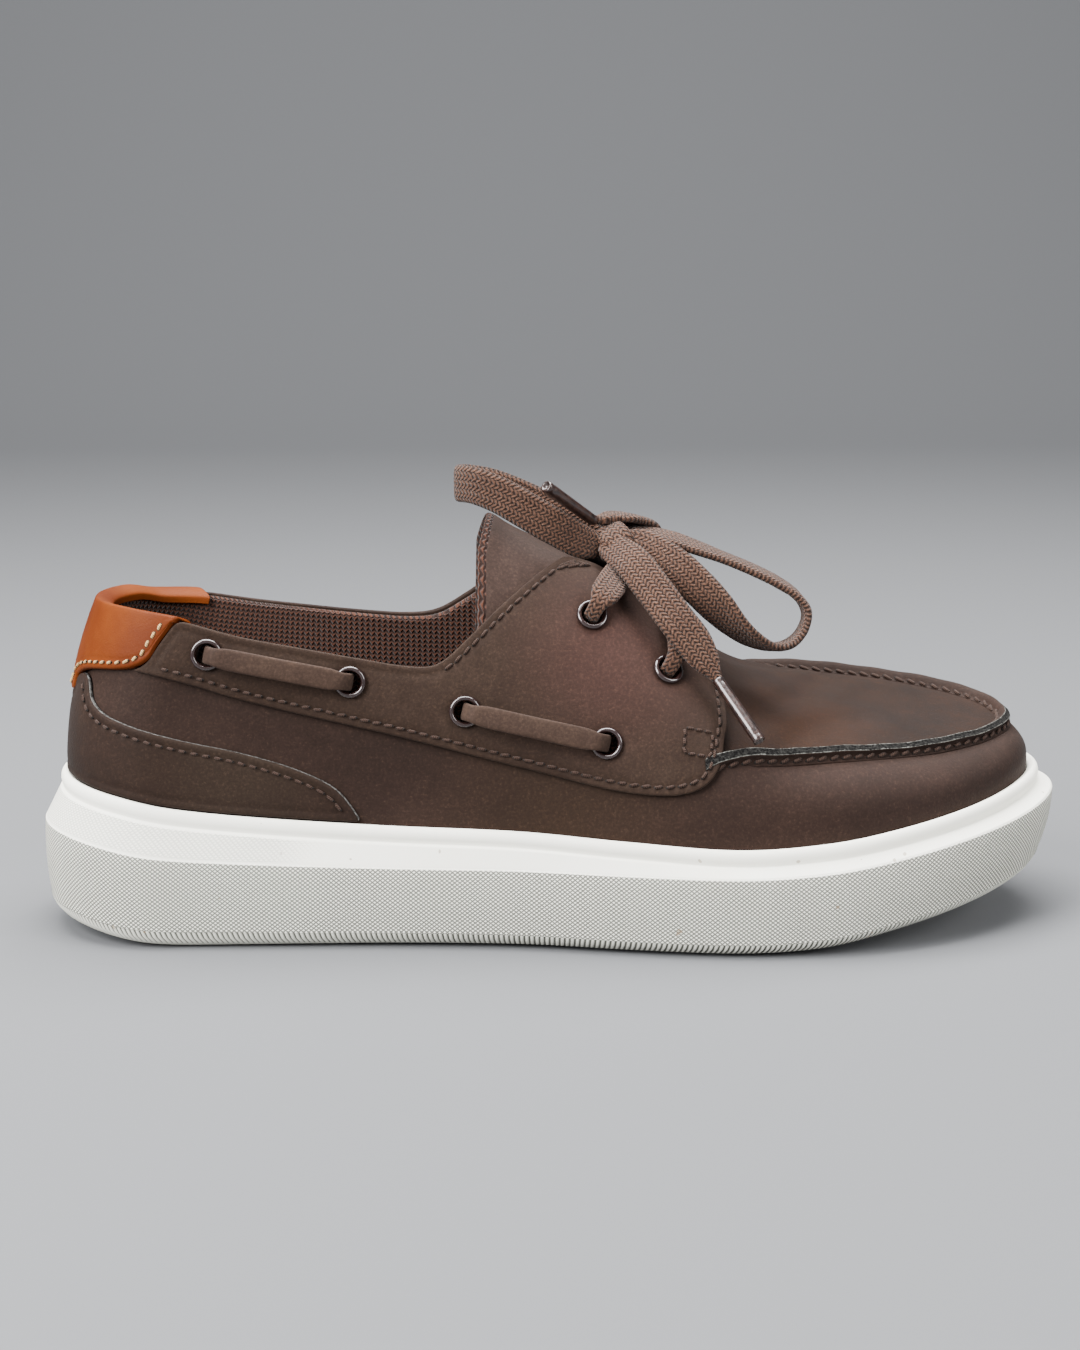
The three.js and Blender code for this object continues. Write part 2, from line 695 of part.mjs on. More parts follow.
// Eyelet: a rounded flange on the panel and a barrel through both layers.
function eyeletSolid(seat) {
  const barrel = eyeletBore + barrelWall;
  const middle = (eyeletBore + eyeletOuter) / 2;
  const depth = panelThickness + leatherWall - gap;
  const profile = [
    [eyeletBore, -depth],
    [barrel, -depth],
    [barrel, gap * 1.5],
    [eyeletOuter, gap * 1.5],
    [middle, gap + eyeletRise],
    [eyeletBore, -depth],
  ].map(([r, z]) => new THREE.Vector2(r, z));
  const ring = new THREE.LatheGeometry(profile, eyeletSteps);
  ring.rotateX(Math.PI / 2);
  return solidOf(placed(ring, seat.point, seat.normal));
}

function seatOf(row, side) {
  const x = row.at * soleLength;
  const lift = collarLift(side, x) * 0.6;
  return onWall(x, heightOf(row.up) + lift, side, gap + panelThickness);
}

// A flat band along points: each has a place, a direction that its flat side faces, and a width.
function band(points, thickness, steps) {
  const curve = (kind, pick) => new THREE.CatmullRomCurve3(points.map(pick), false, kind);
  const places = curve("centripetal", (p) => p.place);
  const faces = curve("catmullrom", (p) => p.face);
  const widths = curve("catmullrom", (p) => new THREE.Vector3(p.width, 0, 0));
  const rings = [];
  for (let k = 0; k <= steps; k++) {
    const q = k / steps;
    const centre = places.getPoint(q);
    const run = places.getTangent(q);
    const face = faces.getPoint(q);
    face.addScaledVector(run, -face.dot(run)).normalize();
    const across = run.clone().cross(face);
    const half = widths.getPoint(q).x / 2;
    const corner = (a, b) =>
      centre.clone().addScaledVector(across, a * half).addScaledVector(face, (b * thickness) / 2);
    const bottom = [corner(-1, 0), corner(-0.8, -1), corner(0.8, -1)];
    rings.push([...bottom, corner(1, 0), corner(0.8, 1), corner(-0.8, 1)]);
  }
  return loft(rings);
}

// Leather thong between two eyelets: out of one, over the panel and into the next.
function thongSolid(from, to) {
  const run = to.point.clone().sub(from.point).normalize();
  const level = eyeletRise + gap + thongThickness / 2 + 0.5;
  const at = (seat, forward, out) =>
    seat.point.clone().addScaledVector(run, forward).addScaledVector(seat.normal, out);
  const half = (seat, way) => {
    const back = run.clone().multiplyScalar(-way);
    const turning = seat.normal.clone().addScaledVector(back, 0.6);
    return [
      { place: at(seat, 0, -holeDip), face: back, width: thongInEyelet },
      { place: at(seat, 0.1 * way, 0.4), face: back, width: thongInEyelet },
      { place: at(seat, 2 * way, level), face: turning, width: thongInEyelet },
      { place: at(seat, 6 * way, level + 0.5), face: seat.normal, width: thongWidth },
    ];
  };
  const face = from.normal.clone().add(to.normal).normalize();
  const place = from.point.clone().lerp(to.point, 0.5).addScaledVector(face, level + 1);
  const middle = { place, face, width: thongWidth };
  return band([...half(from, 1), middle, ...half(to, -1).reverse()], thongThickness, 10);
}

// Lace bar across the throat, from an eyelet of one side to that of the other.
function laceBarSolid([outerSeat, innerSeat], { width, over, ahead }) {
  const level = eyeletRise + gap + laceThickness / 2 + 0.6;
  const overSaddle = (x, y, lift) => {
    const height = (dx, dy) => onTop(x + dx, y + dy, gap + panelThickness);
    const slopes = [height(-1, 0) - height(1, 0), height(0, -1) - height(0, 1)];
    const face = new THREE.Vector3(...slopes, 2).normalize();
    const place = new THREE.Vector3(x, y, height(0, 0)).addScaledVector(face, lift);
    return { place, face, width };
  };
  const half = (seat) => {
    const onward = new THREE.Vector3(ahead * 0.5, -seat.point.y, 0).normalize();
    const run = onward.addScaledVector(seat.normal, -onward.dot(seat.normal)).normalize();
    const at = (forward, out) =>
      seat.point.clone().addScaledVector(run, forward).addScaledVector(seat.normal, out);
    const back = run.clone().negate();
    const turning = seat.normal.clone().addScaledVector(back, 0.6);
    return [
      { place: at(0, -holeDip), face: back, width: laceInEyelet },
      { place: at(0.1, 0.6), face: back, width: laceInEyelet },
      { place: at(2.2, level), face: turning, width: laceInEyelet + 0.6 },
      { place: at(6, level + 0.4), face: seat.normal, width: width * 0.9 },
      overSaddle(seat.point.x + ahead * 0.7, seat.point.y * 0.36, (level + over) / 2),
    ];
  };
  const middle = overSaddle((outerSeat.point.x + innerSeat.point.x) / 2 + ahead, 0, over);
  return band([...half(outerSeat), middle, ...half(innerSeat).reverse()], laceThickness, 16);
}

// The lace bow: each cord's route, chosen by hand. x, y, z: its middle line; fx, fy, fz: where its flat
// side faces.
const rearLoopRows = [
  { x: 157, y: -9.4, z: 111, fx: 0, fy: -1, fz: 0.1 },
  { x: 148.8, y: -12, z: 115.8, fx: -0.1, fy: -1, fz: 0.1 },
  { x: 141, y: -12.5, z: 120.4, fx: -0.1, fy: -1, fz: 0.05 },
  { x: 133.4, y: -11, z: 124.6, fx: -0.2, fy: -1, fz: 0 },
  { x: 126.6, y: -8, z: 127, fx: -0.5, fy: -0.9, fz: 0 },
  { x: 121.8, y: -2, z: 127.2, fx: -1, fy: -0.15, fz: 0 },
  { x: 124.4, y: 4, z: 126.8, fx: -0.4, fy: 1, fz: 0 },
  { x: 131, y: 6.5, z: 125.4, fx: 0, fy: 1, fz: 0 },
  { x: 140, y: 6.5, z: 122, fx: 0.1, fy: 1, fz: 0 },
  { x: 149, y: 4.5, z: 117.6, fx: 0.1, fy: 1, fz: 0 },
  { x: 157.2, y: 1.5, z: 113, fx: 0.1, fy: 1, fz: 0 },
];
const frontLoopRows = [
  { x: 174.2, y: -1, z: 112.2, fx: 0.2, fy: -0.3, fz: 1 },
  { x: 182.6, y: -2.5, z: 111, fx: 0.25, fy: -0.25, fz: 1 },
  { x: 190, y: -3.6, z: 108.6, fx: 0.3, fy: -0.2, fz: 1 },
  { x: 198, y: -4.8, z: 105.7, fx: 0.4, fy: -0.1, fz: 0.9 },
  { x: 206, y: -6.2, z: 102.5, fx: 0.4, fy: -0.1, fz: 0.9 },
  { x: 213.4, y: -7.6, z: 98.9, fx: 0.5, fy: -0.1, fz: 0.8 },
  { x: 219, y: -9, z: 95, fx: 0.85, fy: -0.1, fz: 0.5 },
  { x: 221.6, y: -10.6, z: 90.4, fx: 1, fy: -0.1, fz: -0.1 },
  { x: 220, y: -12.4, z: 85.2, fx: 0.7, fy: -0.15, fz: -0.7 },
  { x: 216, y: -14.2, z: 81.9, fx: 0.1, fy: -0.2, fz: -1 },
  { x: 210.4, y: -16.4, z: 81.5, fx: -0.4, fy: -0.3, fz: -0.9 },
  { x: 204.8, y: -18.2, z: 84, fx: -0.6, fy: -0.5, fz: -0.6 },
  { x: 199.6, y: -19.4, z: 88.2, fx: -0.6, fy: -0.7, fz: -0.4 },
  { x: 194.8, y: -19.6, z: 93.4, fx: -0.4, fy: -0.9, fz: -0.1 },
  { x: 189.6, y: -18.4, z: 98.8, fx: -0.1, fy: -1, fz: 0.1 },
  { x: 183.8, y: -16, z: 104.2, fx: 0, fy: -1, fz: 0.2 },
  { x: 178, y: -12.4, z: 107.8, fx: 0, fy: -1, fz: 0.25 },
  { x: 173.2, y: -9, z: 110, fx: 0, fy: -1, fz: 0.3 },
];
const outerEndRows = [
  { x: 167, y: -12.8, z: 108.8, fx: -0.2, fy: -1, fz: 0.6 },
  { x: 170.8, y: -18, z: 106, fx: -0.2, fy: -1, fz: 0.6 },
  { x: 176, y: -23.8, z: 99.6, fx: -0.2, fy: -1, fz: 0.5 },
  { x: 182, y: -29.2, z: 91.6, fx: -0.1, fy: -1, fz: 0.45 },
  { x: 186.6, y: -31.2, z: 85.7, fx: 0, fy: -1, fz: 0.4 },
  { x: 190.2, y: -32.6, z: 80.3, fx: 0.1, fy: -1, fz: 0.35 },
  { x: 193, y: -33.6, z: 75.9, fx: 0.2, fy: -1, fz: 0.3 },
];
const innerEndRows = [
  { x: 163.6, y: 5, z: 111.4, fx: 0, fy: 1, fz: 0.2 },
  { x: 168.6, y: 7.8, z: 111, fx: -0.2, fy: 1, fz: 0 },
  { x: 173.6, y: 9.8, z: 110.8, fx: -0.1, fy: 1, fz: 0 },
  { x: 177.2, y: 9.4, z: 112, fx: 0.7, fy: 0.6, fz: 0.2 },
  { x: 176.6, y: 6.6, z: 114.4, fx: 0.5, fy: 0.3, fz: 0.8 },
  { x: 171.8, y: 3, z: 116.4, fx: 0.1, fy: 0, fz: 1 },
  { x: 166.4, y: -1, z: 117.2, fx: -0.1, fy: -0.2, fz: 1 },
  { x: 161.4, y: -5, z: 116.8, fx: -0.3, fy: -0.3, fz: 1 },
];
const outerAgletRows = [
  { x: 193.2, y: -33.8, z: 75.5 },
  { x: 204.1, y: -47, z: 59.8 },
];
const innerAgletRows = [
  { x: 160.5, y: -5.8, z: 116.7 },
  { x: 146.2, y: -18, z: 127.9 },
];

const pointOf = (row) => new THREE.Vector3(row.x, row.y, row.z);

// One cord of the bow, gathered to a given width at each end.
function laceSolid(rows, steps, startWidth, endWidth) {
  const gathered = (width, places) => (width - laceWidth) * Math.max(1 - 0.65 * places, 0);
  const points = rows.map((row, i) => {
    const width = laceWidth + gathered(startWidth, i) + gathered(endWidth, rows.length - 1 - i);
    return { place: pointOf(row), face: new THREE.Vector3(row.fx, row.fy, row.fz), width };
  });
  return band(points, laceThickness, steps);
}

// Crimped metal sleeve over the end of the lace.
function agletSolid(rows) {
  const from = pointOf(rows[0]);
  const run = pointOf(rows[1]).sub(from).normalize();
  const sleeve = new THREE.CylinderGeometry(agletRadius * 0.85, agletRadius, agletLength, 10);
  sleeve.rotateX(Math.PI / 2);
  sleeve.translate(0, 0, agletLength / 2);
  return solidOf(placed(sleeve, from, run));
}

// The knot: a rounded body with the lace's crossing turn around it.
function knotSolid() {
  const body = new THREE.SphereGeometry(1, 8, 6);
  body.scale(knotLength / 2, knotWidth / 2, knotHeight / 2);
  const turn = new THREE.CylinderGeometry(1, 1, laceWidth * 0.6, 8);
  turn.rotateZ(Math.PI / 2);
  turn.scale(1, knotWidth / 2 + 0.3, knotHeight / 2 + 0.3);
  turn.rotateY(-0.35);
  const made = solidOf(body).add(solidOf(turn));
  return made.translate([knotPlace.x, knotPlace.y, knotPlace.z]);
}

const group = new THREE.Group();

function addMesh(name, solid, colour, roughness, metalness = 0) {
  const { vertProperties, triVerts, numProp } = solid.getMesh();
  const positions = new Float32Array((vertProperties.length / numProp) * 3);
  for (let i = 0; i < positions.length / 3; i++) {
    positions.set(vertProperties.subarray(i * numProp, i * numProp + 3), i * 3);
  }
  const geometry = new THREE.BufferGeometry();
  geometry.setAttribute("position", new THREE.BufferAttribute(positions, 3));
  geometry.setIndex(new THREE.BufferAttribute(new Uint32Array(triVerts), 1));
  geometry.computeVertexNormals();
  const material = new THREE.MeshStandardMaterial({ color: colour, roughness, metalness });
  const mesh = new THREE.Mesh(geometry, material);
  mesh.name = name;
  group.add(mesh);
}

const white = 0xe9e8e2;
const brown = 0x4a3730;
const tan = 0xb06a30;
const lining = 0x3f2a22;
const laceBrown = 0x4d362b;
const copper = 0x5c3b34;

const sideNames = { [OUTER]: "outer", [INNER]: "inner" };
const sides = [OUTER, INNER];
const seats = [];
for (const side of sides) {
  for (const [kind, rows] of [["side", sideEyeletRows], ["throat", throatEyeletRows]]) {
    rows.forEach((row, i) => {
      const name = `eyelet_${kind}_${sideNames[side]}_${i + 1}`;
      seats.push({ name, seat: seatOf(row, side), side });
    });
  }
}
const seatNamed = (name) => seats.find((s) => s.name === name).seat;

// A solid with the holes for the eyelets of the given sides.
function drilled(solid, ofSides) {
  const holes = seats.filter((s) => ofSides.includes(s.side)).map((s) => eyeletHole(s.seat));
  return holes.reduce((made, hole) => made.subtract(hole), solid);
}

addMesh("cup_sole", soleSolid(), white, 0.7);
addMesh("upper", drilled(upperSolid(), sides), brown, 0.75);
addMesh("insole", insoleSolid(), lining, 0.9);
addMesh("tongue", tongueSolid(), brown, 0.75);
for (const side of sides) {
  addMesh(`saddle_${sideNames[side]}`, drilled(saddleSolid(side), [side]), brown, 0.75);
}
addMesh("heel_counter", counterSolid(), brown, 0.75);
addMesh("heel_tab", heelTabSolid(), tan, 0.6);
for (const { name, seat } of seats) addMesh(name, eyeletSolid(seat), copper, 0.3, 0.8);
for (const side of sides) {
  const eyelet = (i) => seatNamed(`eyelet_side_${sideNames[side]}_${i}`);
  addMesh(`thong_${sideNames[side]}_back`, thongSolid(eyelet(1), eyelet(2)), brown, 0.7);
  addMesh(`thong_${sideNames[side]}_front`, thongSolid(eyelet(3), eyelet(4)), brown, 0.7);
}

const throatPair = (i) => sides.map((side) => seatNamed(`eyelet_throat_${sideNames[side]}_${i}`));
addMesh("lace_bar_lower", laceBarSolid(throatPair(1), lowerBar), laceBrown, 0.95);
addMesh("lace_bar_upper", laceBarSolid(throatPair(2), upperBar), laceBrown, 0.95);

// The origin lies under the middle of the shoe, the free lace left aside.
const box = new THREE.Box3().setFromObject(group);
const centre = box.getCenter(new THREE.Vector3());
group.position.set(-centre.x, -centre.y, -box.min.z);

addMesh("lace_knot", knotSolid(), laceBrown, 0.95);
addMesh("lace_loop_rear", laceSolid(rearLoopRows, 17, laceInKnot, laceInKnot), laceBrown, 0.95);
addMesh("lace_loop_front", laceSolid(frontLoopRows, 18, laceInKnot, laceInKnot), laceBrown, 0.95);
addMesh("lace_end_outer", laceSolid(outerEndRows, 9, laceInKnot, laceInAglet), laceBrown, 0.95);
addMesh("lace_end_inner", laceSolid(innerEndRows, 12, laceInKnot, laceInAglet), laceBrown, 0.95);
addMesh("aglet_outer", agletSolid(outerAgletRows), copper, 0.3, 0.8);
addMesh("aglet_inner", agletSolid(innerAgletRows), copper, 0.3, 0.8);

export default group;
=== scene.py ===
import math

import bpy
import numpy as np
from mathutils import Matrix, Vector
from mathutils.geometry import delaunay_2d_cdt


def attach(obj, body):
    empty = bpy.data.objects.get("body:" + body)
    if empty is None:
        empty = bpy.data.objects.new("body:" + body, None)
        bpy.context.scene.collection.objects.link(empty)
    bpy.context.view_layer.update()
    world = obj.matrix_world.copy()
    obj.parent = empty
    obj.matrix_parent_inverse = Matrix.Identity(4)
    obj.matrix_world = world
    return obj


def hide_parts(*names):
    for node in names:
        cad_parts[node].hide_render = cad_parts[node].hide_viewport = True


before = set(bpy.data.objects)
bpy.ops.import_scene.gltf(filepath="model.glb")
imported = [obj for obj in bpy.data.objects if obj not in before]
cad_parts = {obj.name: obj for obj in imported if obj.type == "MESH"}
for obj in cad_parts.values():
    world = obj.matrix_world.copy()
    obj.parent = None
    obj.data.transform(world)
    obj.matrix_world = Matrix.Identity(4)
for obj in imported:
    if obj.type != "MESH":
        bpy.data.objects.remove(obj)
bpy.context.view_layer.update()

# Cup sole: one moulding of off-white rubber that the upper is cemented into, with a round bead along its
# rim, a smooth band under it, a wall with a fine diamond knurl and a ribbed bevel round the bottom.
# All sizes are in millimetres from the back of the heel, z up, and add_piece moves them to the frame.
frame_origin = np.array([149.8865, 2.2971, 0.0])
sole_length = 300.0
ball_width = 110.0
heel_wall = 45.0
clearance = 0.3
outer_side, inner_side = -1, 1


def curves_through(rows):
    """One smooth function for each column after the first, which is the place."""
    table = np.array(rows, float)
    places = table[:, 0]
    last = len(places) - 1
    before = np.maximum(np.arange(last + 1) - 1, 0)
    after = np.minimum(np.arange(last + 1) + 1, last)

    def curve(values):
        slopes = (values[after] - values[before]) / (places[after] - places[before])

        def at(place):
            place = np.clip(place, places[0], places[-1])
            i = np.searchsorted(places[1:-1], place, side="left")
            width = places[i + 1] - places[i]
            s = (place - places[i]) / width
            rise = values[i + 1] - values[i]
            lead = slopes[i] * width - rise
            trail = rise - slopes[i + 1] * width
            return values[i] + s * rise + s * (1 - s) * (lead * (1 - s) + trail * s)

        return at

    return [curve(column) for column in table.T[1:]]


# Place along the sole; outer and inner half width; heights of rim, underside and floor; step and tuck.
sole_outer, sole_inner, sole_rim, sole_lift, sole_floor, sole_step, sole_tuck = curves_through([
    (0.0, 0.66, 0.66, 1.06, 0.075, 0.6, 0.665, 0.035),
    (0.03, 0.665, 0.665, 1.02, 0.065, 0.58, 0.665, 0.02),
    (0.09, 0.675, 0.67, 0.955, 0.015, 0.54, 0.665, 0.0),
    (0.143, 0.68, 0.68, 0.885, 0.0, 0.51, 0.665, 0.0),
    (0.22, 0.69, 0.68, 0.83, 0.0, 0.49, 0.67, 0.0),
    (0.34, 0.71, 0.64, 0.777, 0.0, 0.45, 0.675, 0.0),
    (0.46, 0.77, 0.66, 0.75, 0.0, 0.41, 0.69, 0.0),
    (0.56, 0.88, 0.79, 0.71, 0.0, 0.36, 0.72, 0.0),
    (0.66, 0.97, 0.95, 0.676, 0.0, 0.32, 0.75, 0.0),
    (0.74, 0.99, 1.01, 0.708, 0.025, 0.34, 0.755, 0.0),
    (0.82, 0.98, 1.0, 0.785, 0.115, 0.4, 0.755, 0.01),
    (0.9, 0.96, 0.97, 0.875, 0.21, 0.5, 0.755, 0.03),
    (0.96, 0.94, 0.95, 0.955, 0.28, 0.58, 0.755, 0.07),
    (1.0, 0.93, 0.94, 1.0, 0.345, 0.62, 0.755, 0.11),
])
rim_inset, heel_inset, toe_inset = 6.0, 9.2, 8.7
heel_round, toe_round, toe_swing = 38.0, 78.0, 7.0
upper_start, upper_end = heel_inset, sole_length - toe_inset
upper_length = upper_end - upper_start


def round_end(distance, depth, power):
    """0 at the end of a round and 1 where it is complete."""
    q = np.clip(distance / depth, 0, 1)
    return (1 - (1 - q) ** power) ** (1 / power)


def ease(q):
    q = np.clip(q, 0, 1)
    return q * q * (3 - 2 * q)


def centre_line(x):
    return toe_swing * ease((x / sole_length - 0.55) / 0.5) ** 1.2


def upper_x(share):
    """x at a share of the upper's length."""
    return upper_start + share * upper_length


def rim_height(share):
    return heel_wall * sole_rim(upper_x(share) / sole_length)


def rim_seat(share, side, grow):
    """x and y of the upper's rim, grown outwards."""
    start, end = upper_start - grow, upper_end + grow
    x = start + share * (end - start)
    full = upper_x(share)
    wide = np.where(side < 0, sole_outer(full / sole_length), sole_inner(full / sole_length))
    rounds = round_end(x - start, heel_round - heel_inset + grow, 2.1)
    rounds = rounds * round_end(end - x, toe_round - toe_inset + grow, 2.05)
    half = (ball_width / 2 * wide - rim_inset + grow) * rounds
    return x, centre_line(full) + side * half


def sole_edge(share, side):
    """x and y of the sole's widest line."""
    x = sole_length * share
    wide = np.where(side < 0, sole_outer(share), sole_inner(share))
    rounds = round_end(x, heel_round, 2.1) * round_end(sole_length - x, toe_round, 2.05)
    return x, centre_line(x) + side * ball_width / 2 * wide * rounds


def run_of(points):
    """The distance along a line of points, from its start."""
    steps = np.linalg.norm(np.diff(points, axis=0), axis=-1)
    return np.concatenate([[0], np.cumsum(steps)])


def even_shares(line, count):
    """Shares of the length at which a line has evenly spaced points, and the line's length."""
    q = (1 - np.cos(np.pi * np.linspace(0, 1, 6001))) / 2
    run = run_of(np.stack(line(q), -1))
    return np.interp(np.linspace(0, run[-1], count), run, q), run[-1]


rib_pitch = 1.44
samples_per_rib = 4
_, side_run = even_shares(lambda q: sole_edge(q, outer_side), 10)
sole_stations = int(side_run / rib_pitch) * samples_per_rib + 1
sole_shares, _ = even_shares(lambda q: sole_edge(q, outer_side), sole_stations)
bead_width, bead_height = 3.2, 4.5
edge_bevel, bevel_share = 8.0, 0.15
rib_depth = 0.55
hatch_end, hatch_fade = 55, 40


def sole_wall(side):
    """Rings of one side's wall, from the bottom's edge over the bead and down to the cup's floor.

    The pattern's third value tells the material what is there: 1 knurl, 2 ribbed bevel, 0 smooth rubber.
    """
    seat_x, seat_y = rim_seat(sole_shares, side, clearance)
    edge_x, edge_y = sole_edge(sole_shares, side)
    reach = np.hypot(edge_x - seat_x, edge_y - seat_y)
    out_x, out_y = (edge_x - seat_x) / reach, (edge_y - seat_y) / reach
    place = edge_x / sole_length
    low = np.maximum(heel_wall * sole_lift(place), 0)
    rim = rim_height(sole_shares)
    tall = rim - low
    tuck = heel_wall * sole_tuck(place)
    step = low + sole_step(place) * tall
    foot = low + bevel_share * tall
    run = run_of(np.stack([edge_x, edge_y], -1))
    bead_out = np.minimum(bead_width, reach - 2)
    bead_low = rim - bead_height
    rows = []

    def row(distance, z, kind=0.0, ribbed=0.0, shift=0.0):
        rib = np.abs(((run + shift) / rib_pitch) % 1 - 0.5) * 2 - 0.5
        distance = distance + ribbed * rib_depth * rib
        points = np.stack([seat_x + out_x * distance, seat_y + out_y * distance, z + 0 * distance], -1)
        pattern = np.stack([run * -side, z + 0 * run, kind + 0 * run], -1)
        rows.append((points, pattern))

    row(reach - edge_bevel - tuck, low, 2, 0.2, 0.36)
    row(reach - 5.4 - tuck, low + 0.018 * tall, 2, 0.9, 0.3)
    row(reach - 2.8 - tuck, low + 0.045 * tall, 2, 1, 0.2)
    row(reach - 1.2 - 0.9 * tuck, low + 0.09 * tall, 2, 1, 0.1)
    row(reach - 0.45 - 0.85 * tuck, low + 0.13 * tall, 2, 0.9)
    row(reach - 0.3 - 0.8 * tuck, low + 0.143 * tall, 1.3, 0.25)
    row(reach - 0.3 - 0.8 * tuck, foot, 1)
    wall_rows = 6
    for k in range(1, wall_rows + 1):
        q = k / wall_rows
        leaning = (-0.3 - 0.8 * tuck) * (1 - q) ** 2 + 2 * q * (1 - q) * (0.45 - 0.2 * tuck) - 0.7 * q ** 2
        row(reach + leaning, foot + (step - 0.3 - foot) * q, 1)
    row(reach - 0.78, step - 0.05, 0.6)
    row(reach - 1.0, step + 0.15)
    band_top = bead_low - 0.5
    hatch = 0.75 * (1.0 - ease((edge_x - hatch_end) / hatch_fade))
    for q in (0.0, 0.1, 0.4, 0.7, 0.93, 1.0):
        zone = hatch if 0 < q < 1 else 0.0
        row((reach - 1.0) * (1 - q) + (bead_out + 0.15) * q, step + 0.3 + (band_top - step - 0.3) * q, zone)
    row(bead_out - 0.3, bead_low - 0.25)
    row(bead_out - 0.6, bead_low - 0.05)
    row(bead_out - 0.5, bead_low + 0.2)
    bead_middle = rim - bead_height * 0.52
    for turn in np.radians([-48, -26, -5, 15, 35, 54, 72, 90, 110, 130]):
        width = bead_out * (0.5 + 0.5 * math.cos(turn))
        row(width, bead_middle + bead_height * 0.52 * math.sin(turn))
    row(0, rim - 0.7)
    row(0, rim - 3)
    row(0, heel_wall * sole_floor(place))
    return [points for points, _ in rows], [pattern for _, pattern in rows]


def tread_height(points):
    """Depth of the tread: wavy cross grooves under the heel and the forefoot."""
    x, y = points[..., 0], points[..., 1]
    wave = 2.2 * np.abs((y / 13) % 2 - 1)
    place = ((x + wave) / 7.5) % 1
    groove = np.clip((0.17 - np.abs(place - 0.5)) / 0.06, 0, 1)
    treaded = (ease((x - 14) / 3) - ease((x - 92) / 3)) + (ease((x - 158) / 3) - ease((x - 272) / 3))
    return 1.2 * groove * treaded


def grid_faces(rows, columns, ring=False, closed=False):
    """Quads over a grid of points; ring joins the last row to the first, closed the last column."""
    i, j = np.meshgrid(
        np.arange(rows if ring else rows - 1), np.arange(columns if closed else columns - 1), indexing="ij"
    )
    i, j = i.ravel(), j.ravel()
    below, right = (i + 1) % rows, (j + 1) % columns
    return np.stack([i * columns + j, i * columns + right, below * columns + right, below * columns + j], -1)


def add_piece(name, points, faces, materials, replaced=(), pattern=None, face_materials=None):
    """A mesh object from points in the shoe's millimetres, riding on the shoe."""
    mesh = bpy.data.meshes.new(name)
    placed = (np.asarray(points, float).reshape(-1, 3) - frame_origin) / 1000
    mesh.from_pydata(placed.tolist(), [], [list(map(int, face)) for face in faces])
    mesh.validate()
    for material in materials:
        mesh.materials.append(material)
    if face_materials is not None and len(mesh.polygons) == len(faces):
        mesh.polygons.foreach_set("material_index", np.asarray(face_materials, np.int32))
    if pattern is not None:
        attribute = mesh.attributes.new("pattern", "FLOAT_VECTOR", "POINT")
        attribute.data.foreach_set("vector", np.asarray(pattern, np.float32).ravel())
    mesh.shade_smooth()
    piece = bpy.data.objects.new(name, mesh)
    bpy.context.scene.collection.objects.link(piece)
    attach(piece, "root")
    if replaced:
        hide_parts(*replaced)
    return piece


def tint(code):
    """A colour from its six hex digits, as linear light."""
    parts = [int(code[k : k + 2], 16) / 255 for k in (0, 2, 4)]
    return (*[p / 12.92 if p <= 0.04045 else ((p + 0.055) / 1.055) ** 2.4 for p in parts], 1.0)


class Field:
    """A value or a colour that changes over a surface. Sums and products of values add Math nodes."""

    def __init__(self, socket):
        self.socket = socket

    def node(self, kind, settings, inputs, output=0):
        """A node of any kind: its settings first, then the values or links of its sockets."""
        made = self.socket.id_data.nodes.new(kind)
        for key, value in settings.items():
            setattr(made, key, value)
        for key, value in inputs.items():
            if isinstance(value, Field):
                self.socket.id_data.links.new(value.socket, made.inputs[key])
            else:
                made.inputs[key].default_value = value
        return Field(made.outputs[output])

    def math(self, operation, *others):
        inputs = dict(enumerate((self, *others)))
        return self.node("ShaderNodeMath", {"operation": operation}, inputs)

    def __add__(self, other):
        return self.math("ADD", other)

    def __radd__(self, other):
        return self.math("ADD", other)

    def __sub__(self, other):
        return self.math("SUBTRACT", other)

    def __rsub__(self, other):
        return (self * -1.0).math("ADD", other)

    def __mul__(self, other):
        return self.math("MULTIPLY", other)

    def __rmul__(self, other):
        return self.math("MULTIPLY", other)

    def __truediv__(self, other):
        return self.math("DIVIDE", other)

    def wave(self, length):
        """A triangle wave from 0 to 1 with that wavelength."""
        return (self / (length / 2)).math("PINGPONG", 1.0)

    def lower(self, other):
        return self.math("MINIMUM", other)

    def between(self, low, high):
        """0 below low, 1 above high, smooth between."""
        inputs = {"Value": self, "From Min": low, "From Max": high}
        return self.node("ShaderNodeMapRange", {"interpolation_type": "SMOOTHSTEP"}, inputs)

    def blend(self, first, second):
        """A colour between two, by this value."""
        return self.node("ShaderNodeMix", {"data_type": "RGBA"}, {0: self, 6: first, 7: second}, 2)


